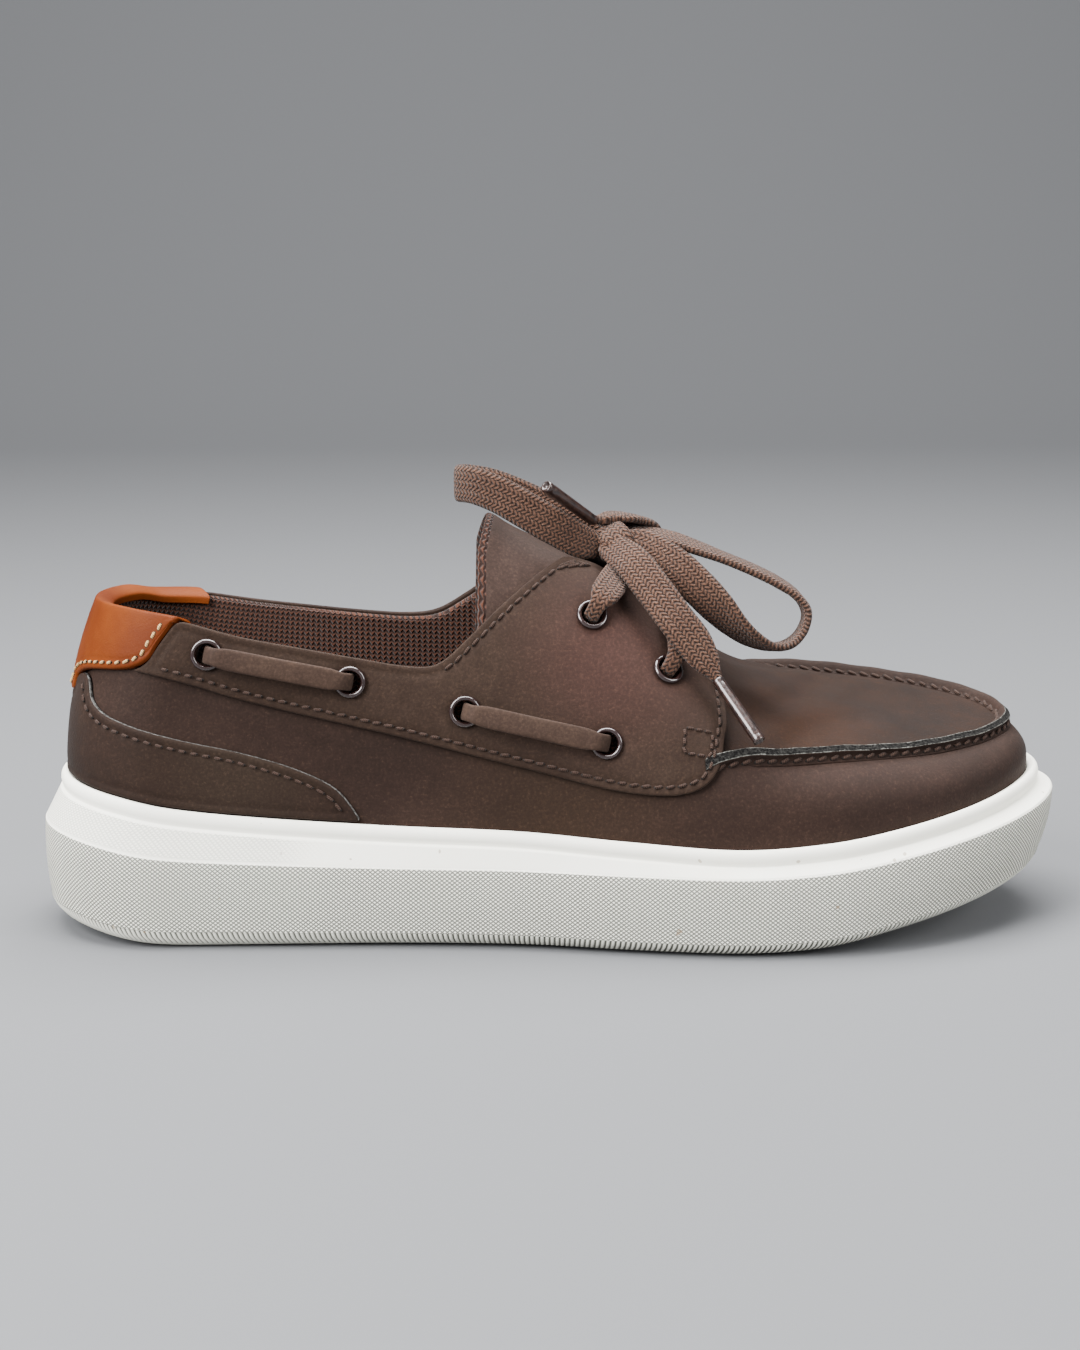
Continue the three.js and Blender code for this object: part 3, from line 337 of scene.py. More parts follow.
class Finish:
    """A material with its shader, and the places that its patterns start from."""

    def __init__(self, name, roughness, metallic=0.0, sheen=0.0, coat=0.0, specular=0.5):
        self.material = bpy.data.materials.new(name)
        self.material.use_nodes = True
        self.shader = self.material.node_tree.nodes["Principled BSDF"]
        self.shader.inputs["Roughness"].default_value = roughness
        self.shader.inputs["Metallic"].default_value = metallic
        self.shader.inputs["Specular IOR Level"].default_value = specular
        self.shader.inputs["Sheen Weight"].default_value = sheen
        self.shader.inputs["Sheen Roughness"].default_value = 0.5
        self.shader.inputs["Coat Weight"].default_value = coat
        self.shader.inputs["Coat Roughness"].default_value = 0.12
        self.node = Field(self.shader.outputs[0]).node
        self.place = self.node("ShaderNodeTexCoord", {}, {}, "Object")
        pattern = self.node("ShaderNodeAttribute", {"attribute_name": "pattern"}, {}, "Vector")
        self.along, self.across, self.third = [
            self.node("ShaderNodeSeparateXYZ", {}, {"Vector": pattern}, k) for k in range(3)
        ]

    def noise(self, size, detail=3.0, roughness=0.55):
        """Noise from 0 to 1 with lumps of about that many millimetres."""
        inputs = {"Vector": self.place, "Scale": 1000 / size, "Detail": detail, "Roughness": roughness}
        return self.node("ShaderNodeTexNoise", {}, inputs, "Fac")

    def colour(self, field):
        self.link(field, "Base Color")

    def link(self, field, socket):
        if isinstance(field, Field):
            self.material.node_tree.links.new(field.socket, self.shader.inputs[socket])
        else:
            self.shader.inputs[socket].default_value = field

    def relief(self, height, depth):
        """A bump whose height of 1 stands for depth, in millimetres."""
        bump = self.node("ShaderNodeBump", {}, {"Strength": 1.0, "Distance": depth / 1000, "Height": height})
        self.link(bump, "Normal")


rubber = Finish("rubber_offwhite", 0.5, specular=0.4)
knurl_wide, knurl_tall = 1.44, 1.15
knurl_across, knurl_up = rubber.along / knurl_wide, rubber.across / knurl_tall
diamond = (knurl_across + knurl_up).wave(1.0).lower((knurl_across - knurl_up).wave(1.0)).between(0.08, 0.62)
knurled = rubber.third.between(0.1, 0.7) * 0.3 + rubber.third.between(0.8, 0.98) * 0.7
bevelled = rubber.third.between(1.45, 1.7)
# Where painted shade darkens the bevel's rib grooves.
groove = bevelled * rubber.along.wave(rib_pitch).between(0.3, 0.85)
rubber_grain = rubber.noise(0.5)
rubber_cloud = rubber.noise(28, 4)
speck = rubber.noise(3.2, 1, 0.3).between(0.79, 0.81)
stain = rubber.noise(40, 2).between(0.6, 0.8)
rubber_tone = rubber_cloud.blend(tint("fffef2"), tint("faf7ea"))
rubber_tone = (stain * 0.4).blend(rubber_tone, tint("f0ead8"))
# Painted shade: the knurl's grooves between the diamonds are coloured dark grey, where shade falls between
# the bumps.
rubber_tone = (knurled * (1.0 - diamond) * (1.0 - bevelled) * 0.95).blend(rubber_tone, tint("5f5f55"))
# Painted shade: the bevel's rib grooves are coloured near black. The whole bevel is coloured a darker grey
# than the wall.
rubber_tone = (groove * 0.95).blend((bevelled * 0.6).blend(rubber_tone, tint("b4b4a8")), tint("3d3d35"))
rubber_tone = (speck * 0.6).blend(rubber_tone, tint("8d7355"))
rubber.colour(rubber_tone)
rubber.link(0.45 + 0.15 * rubber_cloud, "Roughness")
rubber.relief(knurled * (1.0 - bevelled) * diamond + rubber_grain * 0.04, 0.6)

outer_wall, outer_pattern = sole_wall(outer_side)
inner_wall, inner_pattern = sole_wall(inner_side)
tread_columns = 12
tread = []
for k in range(1, tread_columns):
    q = k / tread_columns
    points = inner_wall[0] * q + outer_wall[0] * (1 - q)
    points[:, 2] += tread_height(points)
    tread.append(points)
plain = [0 * inner_pattern[0]]
floor_rows = [outer_wall[-1] * 0.5 + inner_wall[-1] * 0.5]
sole_grid = np.array(outer_wall + floor_rows + inner_wall[::-1] + tread[::-1])
sole_pattern = np.array(outer_pattern + plain + inner_pattern[::-1] + plain * len(tread))
add_piece(
    "sole_moulding",
    sole_grid,
    grid_faces(*sole_grid.shape[:2], ring=True),
    [rubber.material],
    ["cup_sole"],
    sole_pattern,
)

# Last: the foot's form that every upper piece is shaped on. Leather is lasted over it, so panels that lie on
# one another are the same form grown outwards by their thicknesses.
# Place along the upper; height of the crown; fullness of the section; how much its inner side is raised.
last_crown, last_fullness, last_tilt = curves_through([
    (0.0, 1.8, 2.0, 0.0),
    (0.15, 1.76, 2.0, 0.0),
    (0.3, 1.58, 2.0, 0.0),
    (0.38, 1.37, 2.0, 0.0),
    (0.44, 1.2, 2.0, 0.0),
    (0.54, 1.015, 2.0, 0.01),
    (0.593, 0.845, 2.15, 0.03),
    (0.636, 0.7, 2.35, 0.06),
    (0.668, 0.605, 2.6, 0.085),
    (0.71, 0.51, 3.0, 0.1),
    (0.78, 0.44, 3.4, 0.105),
    (0.87, 0.4, 3.5, 0.095),
    (0.94, 0.375, 3.4, 0.06),
    (1.0, 0.35, 3.2, 0.0),
])
instep_rise = 75.0
base_height = heel_wall * 0.652
heel_lean, heel_rise = 10.5, 50.0
crown_round = 12.0
leather_wall = 2.2


def height_of(up):
    return base_height + up * instep_rise


def lean(share, z):
    """How far forward the heel's back leans at a height."""
    return heel_lean * (np.maximum(z - heel_wall, 0) / heel_rise) ** 1.9 * (1 - ease(share / 0.3))


def on_last(share, angle, grow=0.0):
    """Points of the last: share of its length, angle from 0 at the outer rim to pi at the inner rim."""
    share, angle, grow = np.broadcast_arrays(share, angle, grow)
    across = -np.cos(angle)
    x, y = rim_seat(share, np.where(across < 0, -1, 1), grow)
    middle = centre_line(upper_x(share))
    bend = 2 / last_fullness(share)
    lifted = np.maximum(np.sin(angle), 0) ** bend
    spread = np.abs(across) ** bend
    rim = rim_height(share)
    crown = base_height + instep_rise * last_crown(share)
    rise = (crown - rim + grow) * round_end(upper_end + grow - x, crown_round + grow, 2.3)
    tilt = instep_rise * last_tilt(share) * spread * np.sign(across)
    z = rim + (rise + tilt) * lifted
    return np.stack([x + lean(share, z), middle + (y - middle) * spread, z], -1)


def search(is_low, low, high):
    """The value at which a test turns, for many points at once."""
    for _ in range(34):
        middle = (low + high) / 2
        test = is_low(middle)
        low, high = np.where(test, middle, low), np.where(test, high, middle)
    return (low + high) / 2


def wall_angle(share, z, side, grow=0.0):
    """The angle at which the section on one side reaches a height."""
    start = np.where(side < 0, 0.0, math.pi) + 0 * share
    return search(lambda a: on_last(share, a, grow)[..., 2] < z, start, math.pi / 2 + 0 * share)


def share_at(x, z=0.0, grow=0.0):
    """The share of the last's length whose section reaches x at a height."""
    length = upper_length + 2 * grow
    share = np.clip((x - upper_start + grow) / length, 0, 1)
    for _ in range(25):
        ahead = x - lean(np.clip(share, 0, 1), z)
        share = (ahead - upper_start + grow) / length
    return share


def top_place(x, y):
    """Share and angle of the point of the last's top over x and y."""
    x, y = np.broadcast_arrays(np.asarray(x, float), np.asarray(y, float))
    share = np.clip((x - upper_start) / upper_length, 0, 1)
    return share, search(lambda a: on_last(share, a)[..., 1] < y, 0 * share, math.pi + 0 * share)


def points_at(at, run, line):
    """A line's points at distances along it."""
    return np.stack([np.interp(at, run, line[:, k]) for k in range(line.shape[1])], -1)


def spaced(points, spacing=None, count=None):
    """The same line with evenly spaced points."""
    run = run_of(points)
    count = count or max(int(round(run[-1] / spacing)) + 1, 2)
    return points_at(np.linspace(0, run[-1], count), run, points)


def unit(vectors):
    return vectors / np.linalg.norm(vectors, axis=-1, keepdims=True)


# The wall's own coordinates: run, along the rim from the heel, outer side negative; up, over the section.
wall_shares = (1 - np.cos(np.pi * np.linspace(0, 1, 401))) / 2
wall_runs = run_of(np.stack(rim_seat(wall_shares, -1, 0.0), -1))
arch_angles = (1 - np.cos(np.pi * np.linspace(0, 1, 121))) / 2 * math.pi / 2
arch_ups = {}
for side in (outer_side, inner_side):
    turned = arch_angles if side < 0 else math.pi - arch_angles
    arch = on_last(wall_shares[:, None], turned[None, :])
    lengths = np.linalg.norm(np.diff(arch, axis=1), axis=-1)
    arch_ups[side] = np.concatenate([np.zeros((len(wall_shares), 1)), np.cumsum(lengths, 1)], 1)


def wall_place(run, up):
    """Share and angle at a place on the wall."""
    run, up = np.broadcast_arrays(np.asarray(run, float), np.asarray(up, float))
    row = np.interp(np.abs(run), wall_runs, np.arange(len(wall_runs)))
    i = np.minimum(row.astype(int), len(wall_runs) - 2)
    part = (row - i)[..., None]
    pair = np.stack([i, i + 1], -1)
    table = np.where((run > 0)[..., None, None], arch_ups[inner_side][pair], arch_ups[outer_side][pair])
    ups = table[..., 0, :] * (1 - part) + table[..., 1, :] * part
    j = np.clip((ups < up[..., None]).sum(-1) - 1, 0, len(arch_angles) - 2)
    low = np.take_along_axis(ups, j[..., None], -1)[..., 0]
    high = np.take_along_axis(ups, j[..., None] + 1, -1)[..., 0]
    within = np.clip((up - low) / np.maximum(high - low, 1e-9), 0, 1)
    angle = arch_angles[j] + (arch_angles[j + 1] - arch_angles[j]) * within
    share = np.interp(row, np.arange(len(wall_runs)), wall_shares)
    return share, np.where(run > 0, math.pi - angle, angle)


def on_wall(run, up, grow=0.0):
    """Points at run and up on the wall, grown outwards. Below the rim they go straight down."""
    share, angle = wall_place(run, up)
    points = on_last(share, angle, grow)
    points[..., 2] += np.minimum(up, 0)
    return points


def wall_coordinates(x, z, side, grow=0.0):
    """Run and up of the wall's point at x and z on one side; points behind the heel are left out."""
    share = share_at(x, z, grow)
    kept = share > 1e-5
    share, z = share[kept], np.broadcast_to(z, kept.shape)[kept]
    angle = wall_angle(share, z, side, grow)
    if side > 0:
        angle = math.pi - angle
    row = np.interp(share, wall_shares, np.arange(len(wall_shares)))
    i = np.minimum(row.astype(int), len(wall_shares) - 2)
    part = row - i
    up_low = np.array([np.interp(a, arch_angles, arch_ups[side][k]) for a, k in zip(angle, i)])
    up_high = np.array([np.interp(a, arch_angles, arch_ups[side][k + 1]) for a, k in zip(angle, i)])
    up = up_low * (1 - part) + up_high * part + np.minimum(z - rim_height(share), 0)
    return np.stack([side * np.interp(row, np.arange(len(wall_runs)), wall_runs), up], -1)


def smooth_line(points, steps, power=0.5):
    """A centripetal curve through points, with that many steps between each two."""
    points = np.asarray(points, float)
    ends = np.concatenate([[2 * points[0] - points[1]], points, [2 * points[-1] - points[-2]]])
    line = []
    for k in range(len(points) - 1):
        before, first, second, after = ends[k : k + 4]
        pairs = ((before, first), (first, second), (second, after))
        near, gap, far = [max(np.linalg.norm(b - a) ** power, 1e-4) for a, b in pairs]
        lead = (first - before) / near - (second - before) / (near + gap) + (second - first) / gap
        trail = (second - first) / gap - (after - first) / (gap + far) + (after - second) / far
        lead, trail = lead * gap, trail * gap
        for s in np.arange(steps) / steps:
            cubic = (2 * first - 2 * second + lead + trail) * s ** 3
            line.append(first + lead * s + (-3 * first + 3 * second - 2 * lead - trail) * s ** 2 + cubic)
    line.append(points[-1])
    return np.array(line)


def side_edge(rows, side, grow=0.0):
    """A panel's edge on the wall, from its rows of place and height seen from the side."""
    line = smooth_line([(place * sole_length, height_of(up)) for place, up in rows], 24)
    return wall_coordinates(line[:, 0], line[:, 1], side, grow)


# Sock liner: a foam sheet under brown cloth, cut to the last's outline. It lies loose on the cup's floor, and
# only its heel end shows through the collar.
insole_thickness = 4.0
sock_shares, _ = even_shares(lambda q: rim_seat(q, -1, 0.0), 200)
sock_x, sock_outer = rim_seat(sock_shares, -1, -leather_wall - clearance)
_, sock_inner = rim_seat(sock_shares, 1, -leather_wall - clearance)
sock_low = heel_wall * sole_floor(sock_x / sole_length) + clearance
sock_rows = []
sock_columns = 26
for k in range(sock_columns + 1):
    q = k / sock_columns
    y = sock_outer * (1 - q) + sock_inner * q
    edge = np.minimum(np.abs(y - sock_outer), np.abs(y - sock_inner))
    rounded = 1 - 0.35 * (1 - np.clip(edge / 2.5, 0, 1)) ** 2
    sock_rows.append(np.stack([sock_x, y, sock_low + insole_thickness * rounded], -1))
for k in range(sock_columns, -1, -1):
    q = k / sock_columns
    sock_rows.append(np.stack([sock_x, sock_outer * (1 - q) + sock_inner * q, sock_low], -1))
sock_grid = np.array(sock_rows)

sock_cloth = Finish("sock_cloth", 0.9, sheen=0.25)
cloth_weave = sock_cloth.noise(0.7)
sock_cloth.colour(sock_cloth.noise(9).blend(tint("2b1e18"), tint("392921")))
sock_cloth.relief(cloth_weave, 0.3)
add_piece(
    "sock_liner",
    sock_grid,
    grid_faces(*sock_grid.shape[:2], ring=True),
    [sock_cloth.material],
    ["insole"],
)

# Lining: brown knitted mesh over thin foam, glued inside the leather and turned over at the collar's edge.
# Its knit runs round the foot, so it shows as courses along the inside of the far wall.
(collar_up,) = curves_through([
    (-0.1, 0.87), (0.05, 0.865), (0.08, 0.865), (0.105, 0.861), (0.146, 0.84), (0.204, 0.777),
    (0.258, 0.735), (0.322, 0.687), (0.359, 0.663), (0.386, 0.668), (0.414, 0.76), (0.438, 0.848),
    (0.462, 0.925), (0.489, 0.998), (0.513, 1.04), (0.544, 1.11), (0.594, 1.6),
])
(collar_inner,) = curves_through([
    (-0.1, 0.0), (0.08, 0.0), (0.105, -0.022), (0.146, -0.014), (0.204, 0.015), (0.258, 0.033),
    (0.322, 0.058), (0.359, 0.075), (0.386, 0.085), (0.414, 0.06), (0.438, 0.04), (0.462, 0.025),
    (0.489, 0.015), (0.513, 0.01), (0.544, 0.0), (0.594, 0.0),
])
saddle_front = sole_length * 0.652
throat_half = 10.0
throat_from, collar_to = 120, 172
lining_back = -1.8


def collar_height(x, side):
    place = x / sole_length
    return height_of(collar_up(place) + (collar_inner(place) if side > 0 else 0))


def lining_columns(side):
    """Rings round the lining's wall on one side: up inside, over the edge, and down outside."""
    shares = sock_shares[1:]
    rows_up, rings = 44, []
    x = upper_x(shares)
    top = math.pi / 2 + 0 * shares
    over_throat = (x > throat_from) & (x < saddle_front - 6)
    top[over_throat] = top_place(x[over_throat], side * (throat_half + 2))[1]
    collared = x < collar_to
    height = collar_height(x[collared], side) - 0.6
    for _ in range(3):
        height = collar_height(x[collared] + lean(shares[collared], height), side) - 0.6
    limit = wall_angle(shares[collared], height, side)
    lower = np.minimum if side < 0 else np.maximum
    top[collared] = np.where(x[collared] < throat_from, limit, lower(limit, top[collared]))
    start = 0.0 if side < 0 else math.pi
    floor_z = heel_wall * sole_floor(x / sole_length) + clearance
    for q in (0.0, 0.5):
        ring = on_last(shares, start + 0 * shares, -leather_wall)
        ring[:, 2] = floor_z + (ring[:, 2] - floor_z) * q
        rings.append((ring, -8.0 + 8 * q))
    even = (1 - np.cos(np.pi * np.linspace(0, 1, 81))) / 2
    dense = on_last(shares[None, :], start + (top - start)[None, :] * even[:, None], -leather_wall)
    lengths = np.concatenate([[0 * shares], np.cumsum(np.linalg.norm(np.diff(dense, axis=0), axis=-1), 0)])
    turns = np.array([
        np.interp(np.linspace(0, lengths[-1, i], rows_up), lengths[:, i], even) for i in range(len(shares))
    ]).T
    for k in range(rows_up):
        angle = start + (top - start) * turns[k]
        rings.append((on_last(shares, angle, -leather_wall), lengths[-1] * k / (rows_up - 1)))
    turned_over = collared | over_throat
    for grow, lift in ((-1.95, 0.35), (-1.2, 0.6), (-0.5, 0.35)):
        ring = on_last(shares, top, np.where(turned_over, grow, -2.0))
        ring[:, 2] += np.where(turned_over, lift, 0.0)
        rings.append((ring, lengths[-1] + 1))
    for k in range(rows_up - 1, -1, -6):
        angle = start + (top - start) * turns[k]
        rings.append((on_last(shares, angle, lining_back), lengths[-1] * k / (rows_up - 1)))
    ring = on_last(shares, start + 0 * shares, lining_back)
    ring[:, 2] = floor_z
    rings.append((ring, -8.0))
    grid = np.array([ring for ring, _ in rings])
    run = np.interp(shares, wall_shares, wall_runs) * side
    pattern = np.array([np.stack([run, up + 0 * run, 0 * run], -1) for _, up in rings])
    return grid, pattern


outer_lining, outer_lining_pattern = lining_columns(outer_side)
inner_lining, inner_lining_pattern = lining_columns(inner_side)
lining_grid = np.concatenate([outer_lining[:, ::-1], inner_lining], 1)
lining_pattern = np.concatenate([outer_lining_pattern[:, ::-1], inner_lining_pattern], 1)

knit = Finish("lining_knit", 0.9, sheen=0.08, specular=0.12)
knit_wale, knit_course = 1.75, 1.45
column_wave = knit.along.wave(knit_wale)
chevron = (knit.across + column_wave * 0.75).wave(knit_course)
loops = (chevron * 0.7 + column_wave * 0.45).between(0.25, 0.95)
knit_tone = knit.noise(14).blend(tint("3d2218"), tint("513123"))
knit.colour((loops * 0.85 + 0.15 * knit.noise(0.6)).blend(tint("130906"), knit_tone))
knit.relief(loops + 0.2 * knit.noise(0.5), 0.8)
add_piece(
    "lining",
    lining_grid,
    grid_faces(*lining_grid.shape[:2], ring=True),
    [knit.material],
    ["upper"],
    lining_pattern,
)


# Vamp and quarters: one brown nubuck piece round the whole foot, lasted and cemented under the sole's rim. It
# reaches up to the apron seam in front and to under the saddles and the heel panels behind.
def nubuck(name, deep, light, warm=None, warm_place=(0, 0, 0), warm_reach=30, grain=1.0):
    """Brown nubuck: cloudy tone, a short nap, fine grain, and light scuffs."""
    made = Finish(name, 0.7, sheen=0.02, specular=0.1)
    clouds = made.noise(42, 5, 0.6)
    nap = made.noise(3.5, 4, 0.6)
    fine = made.noise(0.8, 3, 0.7)
    tone = (0.75 * clouds + 0.25 * nap).between(0.3, 0.7).blend(tint(deep), tint(light))
    if warm:
        centre = tuple((np.array(warm_place) - frame_origin) / 1000)
        inputs = {0: made.place, 1: centre}
        offset = made.node("ShaderNodeVectorMath", {"operation": "DISTANCE"}, inputs, "Value")
        near = 1.0 - offset.between(0.0, warm_reach / 1000)
        tone = (near * (0.4 + 0.6 * clouds)).blend(tone, tint(warm))
    scuff = made.noise(11, 6, 0.75).between(0.6, 0.82)
    tone = (scuff * 0.14).blend(tone, tint("58463a"))
    tone = (fine.between(0.3, 0.62) * 0.4).blend(tone, tint("120a07"))
    made.colour((fine.between(0.2, 0.42) * -0.16 + 0.16).blend(tone, tint("644d3e")))
    made.link(0.6 + 0.2 * nap, "Roughness")
    made.relief((fine * 0.55 + nap * 0.45) * grain, 0.22)
    return made.material


seam_rows = [
    (0.629, 0.78), (0.674, 0.745), (0.724, 0.7), (0.784, 0.63), (0.844, 0.535), (0.894, 0.405),
    (0.924, 0.28), (0.941, 0.145), (0.947, 0.0),
]
(seam_half,) = curves_through(seam_rows)
turns = np.pi * np.linspace(0, 1, 2001)
seam_at = seam_rows[0][0] + (seam_rows[-1][0] - seam_rows[0][0]) * np.sin(turns) ** 0.9
seam_side = np.where(turns < np.pi / 2, -1, 1)
seam_line = np.stack([
    seam_at * sole_length,
    centre_line(seam_at * sole_length) + seam_side * np.maximum(ball_width / 2 * seam_half(seam_at), 0),
], -1)
seam_spacing = 0.7
seam_line = spaced(seam_line, seam_spacing)
if len(seam_line) % 2 == 0:
    seam_line = spaced(seam_line, count=len(seam_line) + 1)
seam_count = len(seam_line)
seam_run = run_of(seam_line)
seam_middle = seam_count // 2

saddle_low_rows = [
    (0.024, 0.705), (0.125, 0.64), (0.212, 0.54), (0.35, 0.408), (0.459, 0.3), (0.559, 0.218),
    (0.606, 0.214), (0.631, 0.25), (0.644, 0.32), (0.65, 0.42),
]
(saddle_low_up,) = curves_through(saddle_low_rows)
wall_rows_count = 34
column_spacing = 1.1


def wall_band():
    """Columns of the leather from the rim up, behind the seam's ends and in front of them, for each side."""
    seam_start = seam_line[0, 0]
    behind_end = np.interp(share_at(seam_start - column_spacing), wall_shares, wall_runs)
    behind_run = np.linspace(0, behind_end, int(behind_end / column_spacing))
    share = np.interp(behind_run, wall_runs, wall_shares)
    x = upper_x(share)
    columns = {}
    for side, seam_end in ((outer_side, 0), (inner_side, -1)):
        top = height_of(saddle_low_up(x / sole_length)) + 7
        end_share, end_angle = top_place(*seam_line[seam_end])
        end_z = on_last(end_share, end_angle)[2]
        top = top + (end_z - top) * ease((x - 165) / (seam_start - 165))
        limit = wall_angle(share, top, side)
        start = 0.0 if side < 0 else math.pi
        dense = np.linspace(0, 1, 61) ** 1.5
        angle = start + (limit - start)[:, None] * dense
        columns[side, "behind"] = (np.broadcast_to(share[:, None], angle.shape), angle)
        half = seam_line[: seam_middle + 1] if side < 0 else seam_line[seam_middle:][::-1]
        front_share = even_shares_from(seam_start, len(half), side)
        rim_x, rim_y = rim_seat(front_share, side, 0.0)
        q = 1 - np.linspace(0, 1, 81)[None, :] ** 3.2
        px = half[:, :1] + (rim_x[:, None] - half[:, :1]) * q
        py = half[:, 1:] + (rim_y[:, None] - half[:, 1:]) * q
        columns[side, "front"] = top_place(px, py)
    return columns


def even_shares_from(x, count, side):
    """Shares of the rim's evenly spaced points, from x to the tip of the toe."""
    q = share_at(x) + (1 - share_at(x)) * (1 - (1 - np.linspace(0, 1, 3001)) ** 2)
    line = np.stack(rim_seat(q, side, 0.0), -1)
    run = run_of(line)
    return np.interp(np.linspace(0, run[-1], count), run, q)


def evened(share, angle, rows):
    """The same columns with rows evenly spaced over the leather."""
    points = on_last(share, angle)
    out_share, out_angle = np.empty((len(share), rows)), np.empty((len(share), rows))
    for i, column in enumerate(points):
        run = run_of(column)
        at = np.linspace(0, run[-1], rows)
        out_share[i] = np.interp(at, run, share[i])
        out_angle[i] = np.interp(at, run, angle[i])
    return out_share, out_angle


columns = wall_band()
ordered = []
for side in (outer_side, inner_side):
    parts = [evened(*columns[side, part], wall_rows_count) for part in ("behind", "front")]
    share = np.concatenate([parts[0][0][:-1], parts[1][0]])
    angle = np.concatenate([parts[0][1][:-1], parts[1][1]])
    ordered.append((share, angle))
vamp_share = np.concatenate([ordered[0][0], ordered[1][0][::-1][1:-1]])
vamp_angle = np.concatenate([ordered[0][1], ordered[1][1][::-1][1:-1]])


def leather_unevenness(points, depth):
    """Slow, shallow swells that hand-lasted leather has."""
    x, y, z = points[..., 0], points[..., 1], points[..., 2]
    swell = np.sin(x / 11 + 1.3 * np.sin(z / 9)) * np.sin(z / 7 + 0.8 * np.sin(x / 17) + y / 23)
    return depth * swell


vamp_base = on_last(vamp_share, vamp_angle)
vamp_skin = on_last(vamp_share, vamp_angle, np.minimum(leather_unevenness(vamp_base, 0.2) - 0.1, 0.15))
foot = vamp_skin[:, :1].copy()
foot[..., 2] -= 4
vamp_under = on_last(vamp_share, vamp_angle, -1.3)
under_foot = vamp_under[:, :1].copy()
under_foot[..., 2] -= 4
vamp_grid = np.concatenate([foot, vamp_skin, vamp_under[:, ::-1], under_foot], 1).transpose(1, 0, 2)
quarter_leather = nubuck(
    "nubuck_quarter", "221712", "30221c", warm="2e2117", warm_place=(150, -40, 45), warm_reach=50
)
add_piece(
    "vamp_and_quarters",
    vamp_grid,
    grid_faces(*vamp_grid.shape[:2], ring=True, closed=True),
    [quarter_leather],
    ["upper"],
)


# Apron plug: the piece of nubuck over the toes, sewn in inside the raised seam. Walking has pressed soft
# creases into it, and its back end runs under the saddles and the tongue.
def even_grid(low, high, spacing):
    """A staggered grid of points over a rectangle."""
    rows = np.arange(low[1], high[1], spacing * 0.866)
    points = []
    for k, y in enumerate(rows):
        x = np.arange(low[0] + (k % 2) * spacing / 2, high[0], spacing)
        points.append(np.stack([x, y + 0 * x], -1))
    return np.concatenate(points)


def distance_to(points, line, closed=True):
    """Each point's distance to a line of short segments."""
    start = line
    end = np.roll(line, -1, 0)
    if not closed:
        start, end = line[:-1], line[1:]
    nearest = np.full(len(points), 1e9)
    for block in range(0, len(points), 2000):
        part = points[block : block + 2000, None, :]
        along = end - start
        q = ((part - start) * along).sum(-1) / np.maximum((along ** 2).sum(-1), 1e-12)
        foot_point = start + np.clip(q, 0, 1)[..., None] * along
        nearest[block : block + 2000] = np.sqrt(((part - foot_point) ** 2).sum(-1)).min(1)
    return nearest


def is_inside(points, outline):
    """Which points lie inside a closed outline."""
    x, y = points[:, :1], points[:, 1:]
    x1, y1 = outline[:, 0], outline[:, 1]
    x2, y2 = np.roll(x1, -1), np.roll(y1, -1)
    slope = np.where(y2 == y1, 1e-9, y2 - y1)
    crosses = ((y1 > y) != (y2 > y)) & (x < (x2 - x1) * (y - y1) / slope + x1)
    return crosses.sum(1) % 2 == 1


def inset(outline, distance):
    """A closed outline moved inwards."""
    along = np.roll(outline, -1, 0) - np.roll(outline, 1, 0)
    along /= np.maximum(np.linalg.norm(along, axis=1)[:, None], 1e-9)
    area = (outline[:, 0] * np.roll(outline[:, 1], -1) - np.roll(outline[:, 0], -1) * outline[:, 1]).sum()
    inward = np.stack([-along[:, 1], along[:, 0]], -1) * (1 if area > 0 else -1)
    return outline + inward * distance


def rounded_outline(corners, spacing, passes):
    """A closed outline with even points and softened corners."""
    outline = spaced(np.concatenate([corners, corners[:1]]), spacing)[:-1]
    for _ in range(passes):
        outline = outline * 0.5 + (np.roll(outline, 1, 0) + np.roll(outline, -1, 0)) * 0.25
    return outline


def cut_patch(outline, spacing, rims, holes=(), hole_radius=0.0):
    """Triangles over an outline, with close rows of points along its edge and round its holes."""
    hole_points = 20
    rings = [outline] + [inset(outline, rim) for rim in rims]
    circles = []
    for centre in holes:
        turn = np.linspace(0, 2 * math.pi, hole_points, endpoint=False)
        for wider in (0.0, 0.5, 1.2):
            circles.append(centre + (hole_radius + wider) * np.stack([np.cos(turn), np.sin(turn)], -1))
    inside = even_grid(outline.min(0), outline.max(0), spacing)
    inside = inside[is_inside(inside, outline)]
    inside = inside[distance_to(inside, outline) > rims[-1] + spacing * 0.6]
    for centre in holes:
        inside = inside[np.linalg.norm(inside - centre, axis=1) > hole_radius + 1.2 + spacing * 0.6]
    points = np.concatenate(rings + circles + [inside])
    made = delaunay_2d_cdt([Vector(p) for p in points.tolist()], [], [list(range(len(outline)))], 1, 1e-5)
    flat = np.array([tuple(p) for p in made[0]])
    faces = np.array([face for face in made[2] if len(face) == 3])
    middles = flat[faces].mean(1)
    for centre in holes:
        kept = np.linalg.norm(middles - centre, axis=1) > hole_radius * 0.985
        faces, middles = faces[kept], middles[kept]
    return flat, faces


def open_edges(faces):
    """The edges that only one triangle has, in its direction."""
    directed = np.concatenate([faces[:, [0, 1]], faces[:, [1, 2]], faces[:, [2, 0]]])
    keys = {(a, b) for a, b in directed.tolist()}
    return [(a, b) for a, b in directed.tolist() if (b, a) not in keys]


def panel_from(faces, top, under, flip):
    """A closed panel: its top, its underside, and the cut edge between them."""
    count = len(top)
    upper_faces = faces[:, ::-1] if flip else faces
    lower_faces = upper_faces[:, ::-1] + count
    edges = open_edges(upper_faces)
    walls = [(b, a, a + count, b + count) for a, b in edges]
    every = upper_faces.tolist() + lower_faces.tolist() + walls
    kinds = [0] * (2 * len(faces)) + [1] * len(walls)
    return np.concatenate([top, under]), every, kinds


